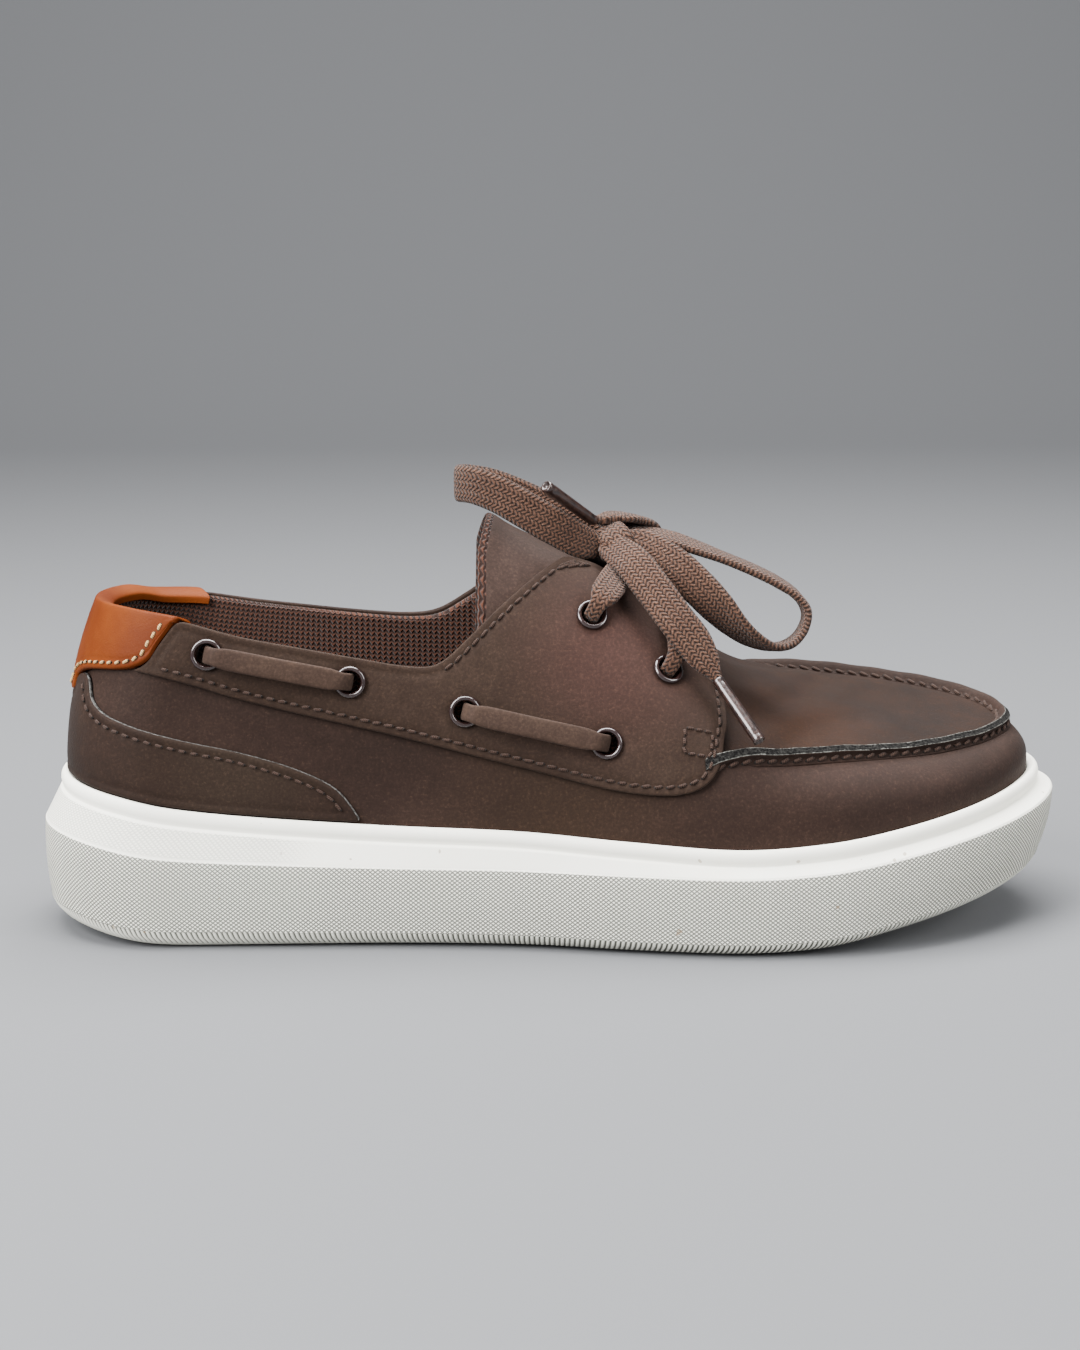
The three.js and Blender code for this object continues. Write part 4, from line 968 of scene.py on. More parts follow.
crease_lines = [
    [(203, -30), (212, -14), (224, 4), (232, 18)],
    [(214, -33), (226, -20), (240, -8)],
    [(199, 10), (210, 22), (222, 31)],
]
crease_depths = (0.55, 0.4, 0.45)
crease_width = 4.5


def plug_relief(x, y):
    """Creases across the toes' bend, and slow swells."""
    flat = np.stack([x, y], -1)
    depth = 0.5 * np.sin(x / 9 + y / 14) * np.sin(y / 11 - x / 25) * np.exp(-(((x - 225) / 32) ** 2))
    for line, deep in zip(crease_lines, crease_depths):
        away = distance_to(flat, smooth_line(line, 12), closed=False)
        depth -= deep * np.exp(-((away / crease_width) ** 2))
        depth += deep * 0.7 * np.exp(-(((away - crease_width * 1.6) / crease_width) ** 2))
    return np.where(depth < 0, 0.8 * np.tanh(depth / 0.8), depth)


notch_x = saddle_front - 7
plug_side = [(176, 42), (172, 40), (172, 13), (notch_x, 13)]
plug_back = np.array(plug_side + [(x, -y) for x, y in plug_side[::-1]])
plug_outline = rounded_outline(np.concatenate([seam_line, plug_back]), 1.0, 2)
plug_flat, plug_faces = cut_patch(plug_outline, 1.5, (0.5, 1.2))
plug_share, plug_angle = top_place(plug_flat[:, 0], plug_flat[:, 1])
seam_near = distance_to(plug_flat, seam_line, closed=False)
plug_grow = plug_relief(plug_flat[:, 0], plug_flat[:, 1]) * ease(seam_near / 9) - 0.2
plug_points, plug_every, _ = panel_from(
    plug_faces, on_last(plug_share, plug_angle, plug_grow), on_last(plug_share, plug_angle, -1.4), False
)
plug_leather = nubuck(
    "nubuck_plug", "150a05", "29170b", warm="331b0a", warm_place=(222, -16, 72), warm_reach=34
)
add_piece("apron_plug", plug_points, plug_every, [plug_leather], ["upper"])

# Apron seam: the edges of vamp and plug turned up together and sewn through by hand with thick brown thread.
# Their cut edges stay raw and grey on top.
# Offset outwards from the seam's line; height over the leather; how far across the raw edge, 0 on leather.
seam_profile = [
    (2.7, 0.05, 0), (1.9, 0.1, 0), (1.45, 0.5, 0), (1.6, 1.1, 0), (2.0, 1.65, 0), (2.3, 2.0, 0),
    (2.32, 2.2, 0.05), (2.1, 2.42, 0.2), (1.78, 2.56, 0.4), (1.52, 2.6, 0.5), (1.3, 2.82, 0.6),
    (1.0, 3.04, 0.8), (0.74, 3.12, 0.95), (0.5, 3.04, 0), (0.1, 2.8, 0), (-0.45, 2.3, 0), (-0.95, 1.3, 0),
    (-1.35, 0.5, 0), (-1.8, 0.1, 0), (-2.4, -0.25, 0), (-1.2, -1.0, 0), (1.2, -1.0, 0),
]
lip_height = 3.3
seam_along = unit(np.gradient(seam_line, axis=0))
seam_out = np.stack([seam_along[:, 1], -seam_along[:, 0]], -1)
seam_base = on_last(*top_place(seam_line[:, 0], seam_line[:, 1]))[:, 2]
seam_beside = seam_line + seam_out
seam_slope = seam_base - on_last(*top_place(seam_beside[:, 0], seam_beside[:, 1]))[:, 2]
seam_level = 1 / np.sqrt(1 + seam_slope ** 2)
flutter = 0.14 * np.sin(seam_run / 5.3) + 0.1 * np.sin(seam_run / 2.1 + 1) + 0.12 * np.sin(seam_run / 13.7)


def seam_point(offset, lift):
    """Points along the seam, at an offset outwards and a height over the leather."""
    share = np.clip(lift / lip_height, 0, 1)
    flat = seam_line + seam_out * offset * (share + (1 - share) * seam_level)[:, None]
    ground = on_last(*top_place(flat[:, 0], flat[:, 1]))[:, 2]
    z = ground * (1 - share) + seam_base * share + lift
    return np.stack([flat[:, 0], flat[:, 1], z + flutter * share], -1)


seam_grid = np.array([seam_point(offset, lift) for offset, lift, _ in seam_profile])
seam_raw = np.array([raw for _, _, raw in seam_profile])
seam_kinds = np.repeat((seam_raw > 0) & (np.roll(seam_raw, -1) > 0), seam_count - 1)
raw_edge = Finish("raw_edge", 0.95, specular=0.1)
fibre = raw_edge.noise(0.7, 4, 0.7)
ragged = raw_edge.across + raw_edge.noise(1.6, 3) * 0.3 - 0.15
rims = 1.0 - ragged.between(0.06, 0.16) * (1.0 - ragged.between(0.84, 0.94))
raw_tone = fibre.between(0.4, 0.68).blend(tint("080707"), tint("2b2a28"))
raw_edge.colour((rims * fibre.between(0.3, 0.6) * 0.85).blend(raw_tone, tint("7d7d77")))
raw_edge.relief(fibre, 0.5)
seam_pattern = np.stack([
    np.broadcast_to(seam_run, seam_grid.shape[:2]),
    np.broadcast_to(seam_raw[:, None], seam_grid.shape[:2]),
    0 * seam_grid[..., 0],
], -1)
add_piece(
    "apron_seam_lip",
    seam_grid,
    grid_faces(*seam_grid.shape[:2], ring=True),
    [quarter_leather, raw_edge.material],
    ["upper"],
    seam_pattern,
    seam_kinds,
)


def stitch_row(name, line, normals, pitch, length, thickness, material, replaced, slant=7.0, sink=0.35):
    """Thread that shows as one short arched stitch after another along a line."""
    run = run_of(line)
    count = int(run[-1] / pitch)
    rng = np.random.default_rng(len(name) + count)
    at = (np.arange(count) + 0.5) * run[-1] / count
    places = points_at(at, run, line)
    facing = unit(points_at(at, run, normals))
    ahead = points_at(at + 0.3, run, line) - points_at(at - 0.3, run, line)
    ahead = unit(ahead - facing * (ahead * facing).sum(1)[:, None])
    cross = np.cross(facing, ahead)
    turn = np.radians(slant + rng.normal(0, 3, count))[:, None]
    ahead, cross = ahead * np.cos(turn) + cross * np.sin(turn), cross * np.cos(turn) - ahead * np.sin(turn)
    lengths = length * (1 + rng.normal(0, 0.06, count))
    stations, sides_round = np.array([-1.0, -0.9, -0.6, -0.2, 0.2, 0.6, 0.9, 1.0]), 8
    around = np.linspace(0, 2 * math.pi, sides_round, endpoint=False)
    points, faces, pattern = [], [], []
    for k in range(count):
        base = k * len(stations) * sides_round
        spokes = np.cos(around)[:, None] * cross[k] + np.sin(around)[:, None] * facing[k]
        for s in stations:
            radius = thickness / 2 * (1 - s ** 4) ** 0.5 if abs(s) < 1 else thickness * 0.05
            lift = thickness * 0.28 - sink * s ** 4
            middle = places[k] + ahead[k] * lengths[k] / 2 * s + facing[k] * lift
            points.append(middle + radius * spokes)
            pattern.append(np.stack([s * lengths[k] / 2 + 0 * around, around, abs(s) + 0 * around], -1))
        faces.append(grid_faces(len(stations), sides_round, closed=True) + base)
        faces.append(np.array([[base + i for i in range(sides_round)][::-1]]))
    flat_faces = [face for part in faces for face in part.tolist()]
    add_piece(name, np.concatenate(points), flat_faces, [material], replaced, np.concatenate(pattern))


def thread(name, deep, light):
    """Waxed thread of twisted plies, with a painted highlight along each ply and painted shade where a stitch
    dips into its hole.
    """
    made = Finish(name, 0.8, sheen=0.05, specular=0.2)
    ply = (made.along + made.across * 0.16).wave(0.55)
    # Painted light: the plies are coloured lighter along their crowns as a highlight, and the stitch's ends
    # near black as the shade of the needle holes.
    made.colour(made.third.between(0.55, 0.92).blend(ply.blend(tint(deep), tint(light)), tint("0a0604")))
    made.relief(ply, 0.12)
    return made.material


brown_thread = thread("thread_brown", "170d09", "3c291f")
for label, side_of_lip in (("outer", 1), ("inner", -1)):
    foot_line = seam_point(1.62 if side_of_lip > 0 else -1.3, 0.55)
    normals = np.concatenate([seam_out * side_of_lip, np.full((seam_count, 1), 0.35)], 1)
    stitch_row(
        f"seam_stitches_{label}", foot_line[4:-4], normals[4:-4], pitch=3.7, length=3.3, thickness=1.1,
        material=brown_thread, replaced=["upper"], slant=20.0 * side_of_lip, sink=0.7,
    )

# Tongue: a padded flap of nubuck over foam with a rolled textile edge. It is sewn in at the plug's back end,
# passes under the eyestays and stands up behind them.
tongue_columns_count = 81
tongue_front, tongue_top, tongue_side_top = 200.0, 117.0, 70.0


def tongue_grid():
    """Shares and angles of columns over the instep, from the free edge at the back to the front end."""
    columns = []
    for a in np.linspace(-1, 1, tongue_columns_count):
        q = abs(a)
        rear_z = tongue_top - (tongue_top - tongue_side_top) * q ** 1.6
        rear_x = np.interp(rear_z, [66, 74.3, 87.8, 104.3, 117.8], [132, 125.6, 126.0, 126.3, 129.3])
        x = rear_x + (tongue_front - rear_x) * np.linspace(0, 1, 70) ** 1.35
        share = (x - upper_start) / upper_length
        low_z = np.interp(x, [124, 133, 163, 190, 201], [74.3, 68.0, 62.0, 63.1, 66.0])
        low_angle = wall_angle(share, low_z, outer_side if a < 0 else inner_side)
        angle = math.pi / 2 + (low_angle - math.pi / 2) * q
        columns.append((share, angle))
    return np.array(columns).transpose(1, 0, 2)


tongue_share, tongue_angle = tongue_grid()
lateral = np.linspace(-1, 1, tongue_columns_count)[:, None]
rear_run = (tongue_share - tongue_share[:, :1]) * upper_length
edge_round = 1 - np.clip(rear_run / 3.2, 0, 1)
side_round = np.clip((np.abs(lateral) - 0.93) / 0.07, 0, 1)
swell = 0.5 * np.sin(np.clip(rear_run / 30, 0, 1) * math.pi) * (1 - lateral ** 2)
rim_lift = 0.35 * np.exp(-(((rear_run - 3) / 3) ** 2))
face_grow = -2.75 + 0.25 * swell + rim_lift - 1.9 * (1 - np.sqrt(1 - edge_round ** 2)) - 1.4 * side_round ** 2
under_grow = -6.5 + 1.9 * (1 - np.sqrt(1 - edge_round ** 2)) + 1.4 * side_round ** 2
tongue_face = on_last(tongue_share, tongue_angle, face_grow)
tongue_under = on_last(tongue_share, tongue_angle, under_grow)
tongue_rings = np.concatenate([tongue_face[:, ::-1], tongue_under], 1).transpose(1, 0, 2)
face_rows = tongue_face.shape[1]
tongue_quads = grid_faces(*tongue_rings.shape[:2], ring=True)
knit_from = face_rows - 1 - int((rear_run[len(lateral) // 2] < 2.6).sum())
face_kind = np.repeat([0 if k < knit_from else 1 for k in range(2 * face_rows)], len(lateral) - 1)
tongue_total = 2 * face_rows * tongue_columns_count
tongue_ends = [
    list(range(0, tongue_total, tongue_columns_count))[::-1],
    list(range(tongue_columns_count - 1, tongue_total, tongue_columns_count)),
]
tongue_pattern = np.stack([
    np.broadcast_to(lateral.T * 34, tongue_rings.shape[:2]),
    np.concatenate([rear_run[:, ::-1], -rear_run], 1).T,
    0 * tongue_rings[..., 0],
], -1)
tongue_leather = nubuck("nubuck_tongue", "2b1e18", "3d2f29", grain=0.8)
tongue = add_piece(
    "tongue_padded",
    tongue_rings,
    tongue_quads.tolist() + tongue_ends,
    [tongue_leather, knit.material],
    ["tongue"],
    tongue_pattern,
    list(face_kind) + [0, 0],
)

# Saddles: one nubuck panel a side, collar band and eyestay together, edge-stitched over the quarters with a
# square bartack at its front corner. Its holes take the eyelets.
panel_thickness = 1.4
panel_face = clearance + panel_thickness
tab_low_rows = [
    (-0.1, 0.52), (0.034, 0.53), (0.042, 0.597), (0.053, 0.63), (0.101, 0.662), (0.117, 0.695),
    (0.125, 0.745), (0.147, 0.87), (0.151, 0.93),
]
side_eyelets = [(0.173, 0.718), (0.304, 0.614), (0.41, 0.504), (0.54, 0.396)]
throat_eyelets = [(0.599, 0.645), (0.529, 0.843)]
eyelet_outer, eyelet_bore, eyelet_rise, barrel_wall = 4.5, 3.0, 1.3, 0.6
hole_radius = eyelet_bore + barrel_wall + 0.15
hole_dip = 1.6


def on_panel(x, z, side):
    """The point of a panel's face at x and z, with its outward normal."""

    def find(px, pz):
        px, pz = np.array([float(px)]), np.array([float(pz)])
        share = share_at(px, pz, panel_face)
        angle = wall_angle(share, pz, side, panel_face)
        return on_last(share, angle, panel_face)[0]

    point = find(x, z)
    normal = unit(np.cross(find(x + 0.5, z) - find(x - 0.5, z), find(x, z + 0.5) - find(x, z - 0.5)))
    return point, normal * (1 if normal[1] * side > 0 else -1)


def eyelet_seat(place, up, side):
    """Where an eyelet sits on its panel. The inner side's eyelets follow its collar in part."""
    x = place * sole_length
    lift = instep_rise * float(collar_inner(place)) * 0.6 if side > 0 else 0
    return on_panel(x, height_of(up) + lift, side)


seats = {}
for side, side_name in ((outer_side, "outer"), (inner_side, "inner")):
    for group, rows in (("side", side_eyelets), ("throat", throat_eyelets)):
        for k, (place, up) in enumerate(rows):
            seats[f"eyelet_{group}_{side_name}_{k + 1}"] = (*eyelet_seat(place, up, side), side)


def shifted(line, dx, dz):
    """The same rows, moved by millimetres."""
    return [(place + dx / sole_length, up + dz / instep_rise) for place, up in line]


def saddle_outline(side):
    """The panel's outline on the wall: low edge, front, throat, collar and along the heel tab."""
    low = side_edge(saddle_low_rows, side, panel_face)
    tab = side_edge(shifted(tab_low_rows, clearance, -clearance), side, panel_face)
    throat_x = np.linspace(saddle_front, 160, 60)
    share, angle = top_place(throat_x, side * throat_half)
    throat_z = on_last(share, angle)[:, 2]
    throat = wall_coordinates(throat_x, throat_z, side)
    top_x = np.linspace(172, 38, 300)
    top = wall_coordinates(top_x, collar_height(top_x, side), side)
    front_z = np.linspace(height_of(0.42), throat_z[0], 20)[1:-1]
    front = wall_coordinates(saddle_front + 0 * front_z, front_z, side)
    throat = throat[throat[:, 1] > 0]
    meet = np.array([np.abs(top - p).sum(1).min() for p in throat]).argmin()
    throat = throat[:meet]
    top = top[np.abs(top - throat[-1]).sum(1).argmin() + 1 :]
    cross_top = np.array([np.abs(tab - p).sum(1).min() for p in top]).argmin()
    cross_tab = np.abs(tab - top[cross_top]).sum(1).argmin()
    cross_low = np.array([np.abs(low - p).sum(1).min() for p in tab]).argmin()
    top = top[:cross_top]
    tab = tab[cross_low:cross_tab][::-1]
    low = low[np.abs(low - tab[-1]).sum(1).argmin() + 1 :]
    return np.concatenate([low, front, throat, top, tab])


edge_rounding, stitch_inset, stitch_press, press_width = 0.55, 2.4, 0.22, 0.55
panel_spacing, panel_rims = 1.7, (0.22, 0.55, 1.2, 1.9, 2.5, 3.1)


def panel_height(away):
    """How high a panel stands at a distance from its edge: rounded there, pressed down by the stitches."""
    rounding = edge_rounding * (1 - np.sqrt(1 - (1 - np.clip(away / edge_rounding, 0, 1)) ** 2))
    return panel_face - rounding - stitch_press * np.exp(-(((away - stitch_inset) / press_width) ** 2))


def sewn_panel(name, outline, materials, replaced, holes=(), raise_by=None):
    """A panel of leather cut to an outline on the wall, with a rounded cut edge."""
    flat, faces = cut_patch(outline, panel_spacing, panel_rims, holes, hole_radius)
    away = distance_to(flat, outline)
    height = panel_height(away)
    for centre in holes:
        near = np.linalg.norm(flat - centre, axis=1)
        height -= 0.3 * np.exp(-(((near - hole_radius) / 1.3) ** 2))
    if raise_by is not None:
        height = height + raise_by(flat) * ease(away / 6)
    top = on_wall(flat[:, 0], flat[:, 1], height)
    under = on_wall(flat[:, 0], flat[:, 1], np.full(len(flat), clearance))
    first = top[faces[0]]
    normal = np.cross(first[1] - first[0], first[2] - first[0])
    is_inward = np.dot(normal, first[0] - under[faces[0][0]]) < 0
    points, every, kinds = panel_from(faces, top, under, is_inward)
    add_piece(name, points, every, materials, replaced, face_materials=kinds)


def wall_stitches(
    name, line, grow, pitch, length, thickness, replaced, material=brown_thread
):
    """A row of stitches along a line of run and up, over a face grown out from the last."""
    line = spaced(line, 0.6)
    base = on_wall(line[:, 0], line[:, 1], grow)
    normals = unit(on_wall(line[:, 0], line[:, 1], grow + 0.5) - base)
    stitch_row(name, base, normals, pitch, length, thickness, material, replaced)


saddle_leather = nubuck(
    "nubuck_saddle", "251912", "34271f", warm="3d2621", warm_place=(165, -34, 84), warm_reach=38
)
# The saddles' cut edges are coloured darker than their faces: the edge's own leather, with painted shade
# along the panel's edge.
shaded_cut_edge_leather = nubuck("nubuck_cut_edge_shaded", "1b110d", "2e2019")
bartack_corners = [(183.6, 63.3), (191.4, 61.6), (190.4, 55.6), (183.0, 56.8)]
for side, side_name in ((outer_side, "outer"), (inner_side, "inner")):
    outline = rounded_outline(saddle_outline(side), 1.1, 5)
    holes = [
        wall_coordinates(point[:1], point[2:], side, panel_face)[0]
        for point, _, seat_side in seats.values() if seat_side == side
    ]
    sewn_panel(
        f"saddle_{side_name}_leather", outline, [saddle_leather, shaded_cut_edge_leather], [f"saddle_{side_name}"], holes,
        raise_by=lambda flat: 0.12 * np.sin(flat[:, 0] / 13) * np.sin(flat[:, 1] / 8 + flat[:, 0] / 31),
    )
    row = inset(outline, stitch_inset)
    places = on_wall(row[:, 0], row[:, 1], panel_face)
    is_back = (places[:, 0] > 117) & (places[:, 0] < 166)
    is_back &= places[:, 2] > collar_height(places[:, 0], side) - 4
    back_edge = row[is_back][np.argsort(places[is_back, 2])]
    is_low = (places[:, 2] < height_of(saddle_low_up(places[:, 0] / sole_length)) + 4) & (places[:, 0] > 38.5)
    is_low &= places[:, 0] < saddle_front - 6
    low_line = row[is_low][np.argsort(places[is_low, 0])]
    is_front = (places[:, 0] >= saddle_front - 6) & (places[:, 2] < height_of(saddle_low_up(0.65)) + 26)
    front_line = row[is_front][np.argsort(places[is_front, 2])]
    front_line = front_line[on_wall(front_line[:, 0], front_line[:, 1])[:, 0] > saddle_front - 7]
    low_line = np.concatenate([low_line, front_line])
    for part, line in (("back", back_edge), ("low", low_line)):
        wall_stitches(
            f"saddle_{side_name}_{part}_stitches", line, panel_face - 0.08, pitch=3.3, length=2.9,
            thickness=0.9, replaced=[f"saddle_{side_name}"],
        )
    corners = np.array([
        wall_coordinates(np.array([x]), np.array([z]), side, panel_face)[0] for x, z in bartack_corners
    ])
    bartack = rounded_outline(corners, 0.3, 12)
    wall_stitches(
        f"saddle_{side_name}_bartack_stitches", np.concatenate([bartack, bartack[:1]]), panel_face - 0.05,
        pitch=2.4, length=2.2, thickness=0.9, replaced=[f"saddle_{side_name}"],
    )

# Heel counter: a nubuck panel round the heel, sewn over the quarters and cut to meet the tab. Its upper edge
# is left raw and grey, with a row of stitches below it.
counter_top_rows = [
    (-0.1, 0.62), (0.052, 0.62), (0.059, 0.53), (0.07, 0.49), (0.094, 0.455), (0.146, 0.398), (0.201, 0.35),
    (0.256, 0.28), (0.29, 0.205), (0.314, 0.07),
]


def round_heel(rows, grow):
    """An edge that runs round the heel, from the outer side's front end to the inner side's."""
    outer = side_edge(rows, outer_side, grow)
    inner = side_edge(rows, inner_side, grow)
    return np.concatenate([outer[::-1], inner])


counter_edge = round_heel(counter_top_rows, panel_face)
tab_edge = round_heel(shifted(tab_low_rows, clearance, -clearance), panel_face)
tab_limit = np.interp(counter_edge[:, 0], tab_edge[:, 0], tab_edge[:, 1])
tab_limit[np.abs(counter_edge[:, 0]) >= 45] = np.inf
counter_edge[:, 1] = np.minimum(counter_edge[:, 1], tab_limit)
counter_edge = counter_edge[counter_edge[:, 1] > clearance]
floor_runs = np.linspace(counter_edge[-1, 0], counter_edge[0, 0], 120)[1:-1]
counter_floor = np.stack([floor_runs, clearance + 0 * floor_runs], -1)
counter_outline = rounded_outline(np.concatenate([counter_edge, counter_floor]), 1.0, 2)
counter_leather = nubuck(
    "nubuck_counter", "1c120d", "2a1d16", warm="2e241c", warm_place=(60, -40, 50), warm_reach=40
)
pale_edge = Finish("panel_raw_edge", 0.9, specular=0.2)
pale_fibre = pale_edge.noise(0.9, 4, 0.7)
pale_edge.colour(pale_fibre.between(0.35, 0.65).blend(tint("2e2b29"), tint("72716e")))
sewn_panel("heel_counter_leather", counter_outline, [counter_leather, pale_edge.material], ["heel_counter"])
counter_row = inset(counter_outline, 2.6)
counter_row = counter_row[counter_row[:, 1] > 3.2]
counter_row = counter_row[np.argsort(counter_row[:, 0])]
counter_row = counter_row[np.abs(counter_row[:, 0]) > 17]
for side, side_name in ((outer_side, "outer"), (inner_side, "inner")):
    wall_stitches(
        f"counter_{side_name}_stitches", counter_row[counter_row[:, 0] * side > 0], panel_face - 0.08,
        pitch=3.3, length=2.9, thickness=0.85, replaced=["heel_counter"],
    )


# Heel tab: smooth tan leather round the top of the heel, folded over the collar's edge and stitched down
# along its low edge in pale thread.
def capped(grid):
    """Faces of rings that run along a piece, closed at both ends."""
    rows, columns = grid.shape[:2]
    faces = grid_faces(rows, columns, ring=True).tolist()
    faces.append([k * columns for k in range(rows)])
    faces.append([k * columns + columns - 1 for k in range(rows)][::-1])
    return faces


tab_thickness, tab_top, tab_inside, tab_lining = 2.1, 1.2, 1.6, 1.0
outer_face = clearance + tab_thickness
tab_line = round_heel(tab_low_rows, outer_face)
tab_line = tab_line[np.argsort(tab_line[:, 0])]
outer_line = tab_line[tab_line[:, 0] < 0]
places = on_wall(outer_line[:, 0], outer_line[:, 1])
is_below_collar = places[:, 2] < collar_height(places[:, 0], outer_side) - 0.3
tab_end = np.abs(outer_line[is_below_collar, 0]).max()
tab_runs = np.linspace(-tab_end, tab_end, 241)
tab_low_up = np.interp(tab_runs, tab_line[:, 0], tab_line[:, 1])
tab_share = np.interp(np.abs(tab_runs), wall_runs, wall_shares)
tab_side = np.where(tab_runs > 0, 1, -1)


def tab_ring(height_above, grow):
    """Points along the tab at a height over the collar's edge."""
    z = 95.0 + 0 * tab_share
    x = upper_x(tab_share)
    for _ in range(4):
        ahead = x + lean(tab_share, z)
        z = np.where(tab_side > 0, collar_height(ahead, 1), collar_height(ahead, -1)) + height_above
    return on_last(tab_share, wall_angle(tab_share, z, tab_side), grow)


def tab_face(q, grow):
    """Points along the tab's outside, from its low edge at 0 to the collar's edge at 1."""
    top = tab_ring(0.0, 0.0)
    x, z = top[:, 0], top[:, 2]
    low = np.minimum(on_wall(tab_runs, tab_low_up, outer_face)[:, 2], z - 0.9)
    height = low + (z - low) * q
    return on_last(tab_share, wall_angle(tab_share, height, tab_side), grow)


inner_face = -leather_wall - clearance - tab_lining
under_fold = inner_face + tab_lining
tab_rings = [tab_face(0.0, clearance), tab_face(0.0, outer_face - 0.7)]
tab_rings += [tab_face(0.012, outer_face - 0.25), tab_face(0.035, outer_face - 0.03)]
for q in np.linspace(0.07, 0.94, 22):
    pressed = 0.22 * math.exp(-(((q - 0.16) / 0.03) ** 2))
    tab_rings.append(tab_face(q, outer_face - pressed + 0.15 * math.sin(q * 3.1)))
middle, reach = (outer_face + inner_face) / 2, (outer_face - inner_face) / 2
for turn in np.radians(np.linspace(0, 180, 13)):
    tab_rings.append(tab_ring((tab_top - 0.2) * math.sin(turn) ** 0.8 + 0.1, middle + reach * math.cos(turn)))
tab_rings += [tab_ring(-below, inner_face) for below in np.linspace(0.6, tab_inside, 5)]
tab_rings += [tab_ring(-tab_inside - 0.3, inner_face + 0.5), tab_ring(-tab_inside, under_fold)]
tab_rings += [tab_ring(-0.5, under_fold), tab_ring(clearance, under_fold + 0.3)]
tab_rings += [tab_ring(clearance, clearance - 0.2), tab_face(0.9, clearance), tab_face(0.5, clearance)]
tab_grid = np.array(tab_rings)

tan_leather = Finish("tan_leather", 0.6, specular=0.1)
tan_cloud = tan_leather.noise(30, 4)
tan_pores = tan_leather.noise(0.5, 3, 0.6)
tan_tone = tan_cloud.between(0.3, 0.7).blend(tint("501f05"), tint("642e0a"))
tan_tone = (tan_leather.noise(5, 4, 0.7).between(0.55, 0.8) * 0.3).blend(tan_tone, tint("683a14"))
tan_leather.colour((tan_pores * 0.2).blend(tan_tone, tint("472008")))
tan_leather.link(0.48 + 0.2 * tan_cloud, "Roughness")
tan_leather.relief(tan_pores * 0.6 + 0.4 * tan_leather.noise(2.2, 3), 0.16)
add_piece("heel_tab_leather", tab_grid, capped(tab_grid), [tan_leather.material], ["heel_tab"])
pale_thread = thread("thread_pale", "936530", "ccb080")
tab_high = tab_low_up.max()
tab_corners = [(tab_end, tab_high + 9), (-tab_end, tab_high + 9)]
tab_closed = np.concatenate([np.stack([tab_runs, tab_low_up], -1), tab_corners])
tab_inset = inset(spaced(tab_closed, 0.8), 2.3)
tab_inset = tab_inset[tab_inset[:, 1] < tab_high + 6]
tab_places = on_wall(tab_inset[:, 0], tab_inset[:, 1], outer_face)
inner_rim, outer_rim = collar_height(tab_places[:, 0], 1), collar_height(tab_places[:, 0], -1)
tab_inset = tab_inset[tab_places[:, 2] < np.where(tab_inset[:, 0] > 0, inner_rim, outer_rim) - 0.7]
wall_stitches(
    "tab_stitches", tab_inset[np.argsort(tab_inset[:, 0])], outer_face - 0.02, pitch=2.9, length=2.5,
    thickness=0.85, replaced=["heel_tab"], material=pale_thread,
)

# Eyelets: pressed rings of dark copper-lacquered metal, on each side four in a row and two beside the throat.
# Each has a barrel set through panel and lining.
copper = Finish("copper_lacquer", 0.2, metallic=0.35, coat=1.0)
copper_cloud = copper.noise(2.5, 3)
copper.colour(copper_cloud.blend(tint("1c1010"), tint("2e1e1c")))
copper.link(0.14 + 0.06 * copper_cloud, "Roughness")


def turned_to(normal):
    """Two directions across a normal."""
    across = unit(np.cross(normal, (0, 0, 1.0)))
    return across, np.cross(normal, across)


barrel_depth = panel_thickness + leather_wall - clearance
barrel_radius = eyelet_bore + barrel_wall
eyelet_profile = [(eyelet_bore, -barrel_depth), (barrel_radius, -barrel_depth), (barrel_radius, -0.5)]
eyelet_profile += [(barrel_radius, 0.0), (eyelet_outer - 0.35, 0.0), (eyelet_outer, 0.18)]
middle, reach = (eyelet_outer + eyelet_bore) / 2, (eyelet_outer - eyelet_bore) / 2
for turn in np.radians(np.linspace(10, 180, 9)):
    eyelet_profile.append((middle + reach * math.cos(turn), 0.25 + 0.95 * math.sin(turn)))
eyelet_profile.append((eyelet_bore, -0.8))
eyelet_around = 48
for name, (point, normal, _) in seats.items():
    across, along = turned_to(normal)
    turn = np.linspace(0, 2 * math.pi, eyelet_around, endpoint=False)
    spokes = np.cos(turn)[:, None] * across + np.sin(turn)[:, None] * along
    rings = np.array([point + radius * spokes + height * normal for radius, height in eyelet_profile])
    add_piece(
        f"{name}_ring", rings, grid_faces(*rings.shape[:2], ring=True, closed=True), [copper.material],
        [name],
    )


# Thongs: flat leather straps that pass from eyelet to eyelet along each side, gathered where they dip into
# the bores. On the real shoe they run on between leather and lining.
def flat_band(places, faces, widths, thickness, steps, corner, round_points):
    """A flat band along a smooth line: its rings, its middle line, and the pattern's coordinates."""
    line = smooth_line(places, steps)
    facing = smooth_line(faces, steps, 0.0)
    width = smooth_line(np.stack([np.arange(len(widths)) * 1.0, widths], -1), steps, 0.0)[:, 1]
    thick = thickness * np.clip(width / 3.6, 0.7, 1.0)
    ahead = unit(np.gradient(line, axis=0))
    facing = unit(facing - ahead * (facing * ahead).sum(1)[:, None])
    across = np.cross(ahead, facing)
    turn = np.linspace(0, 2 * math.pi, round_points, endpoint=False)
    wide = np.sign(np.cos(turn)) * np.abs(np.cos(turn)) ** 0.45
    tall = np.sign(np.sin(turn)) * np.abs(np.sin(turn)) ** corner
    rings, pattern = [], []
    run = run_of(line)
    for w, t in zip(wide, tall):
        rings.append(line + across * (width * w / 2)[:, None] + facing * (t * thick / 2)[:, None])
        pattern.append(np.stack([run, width * w / 2, 0 * run + np.sign(t)], -1))
    return np.array(rings), line, np.array(pattern)


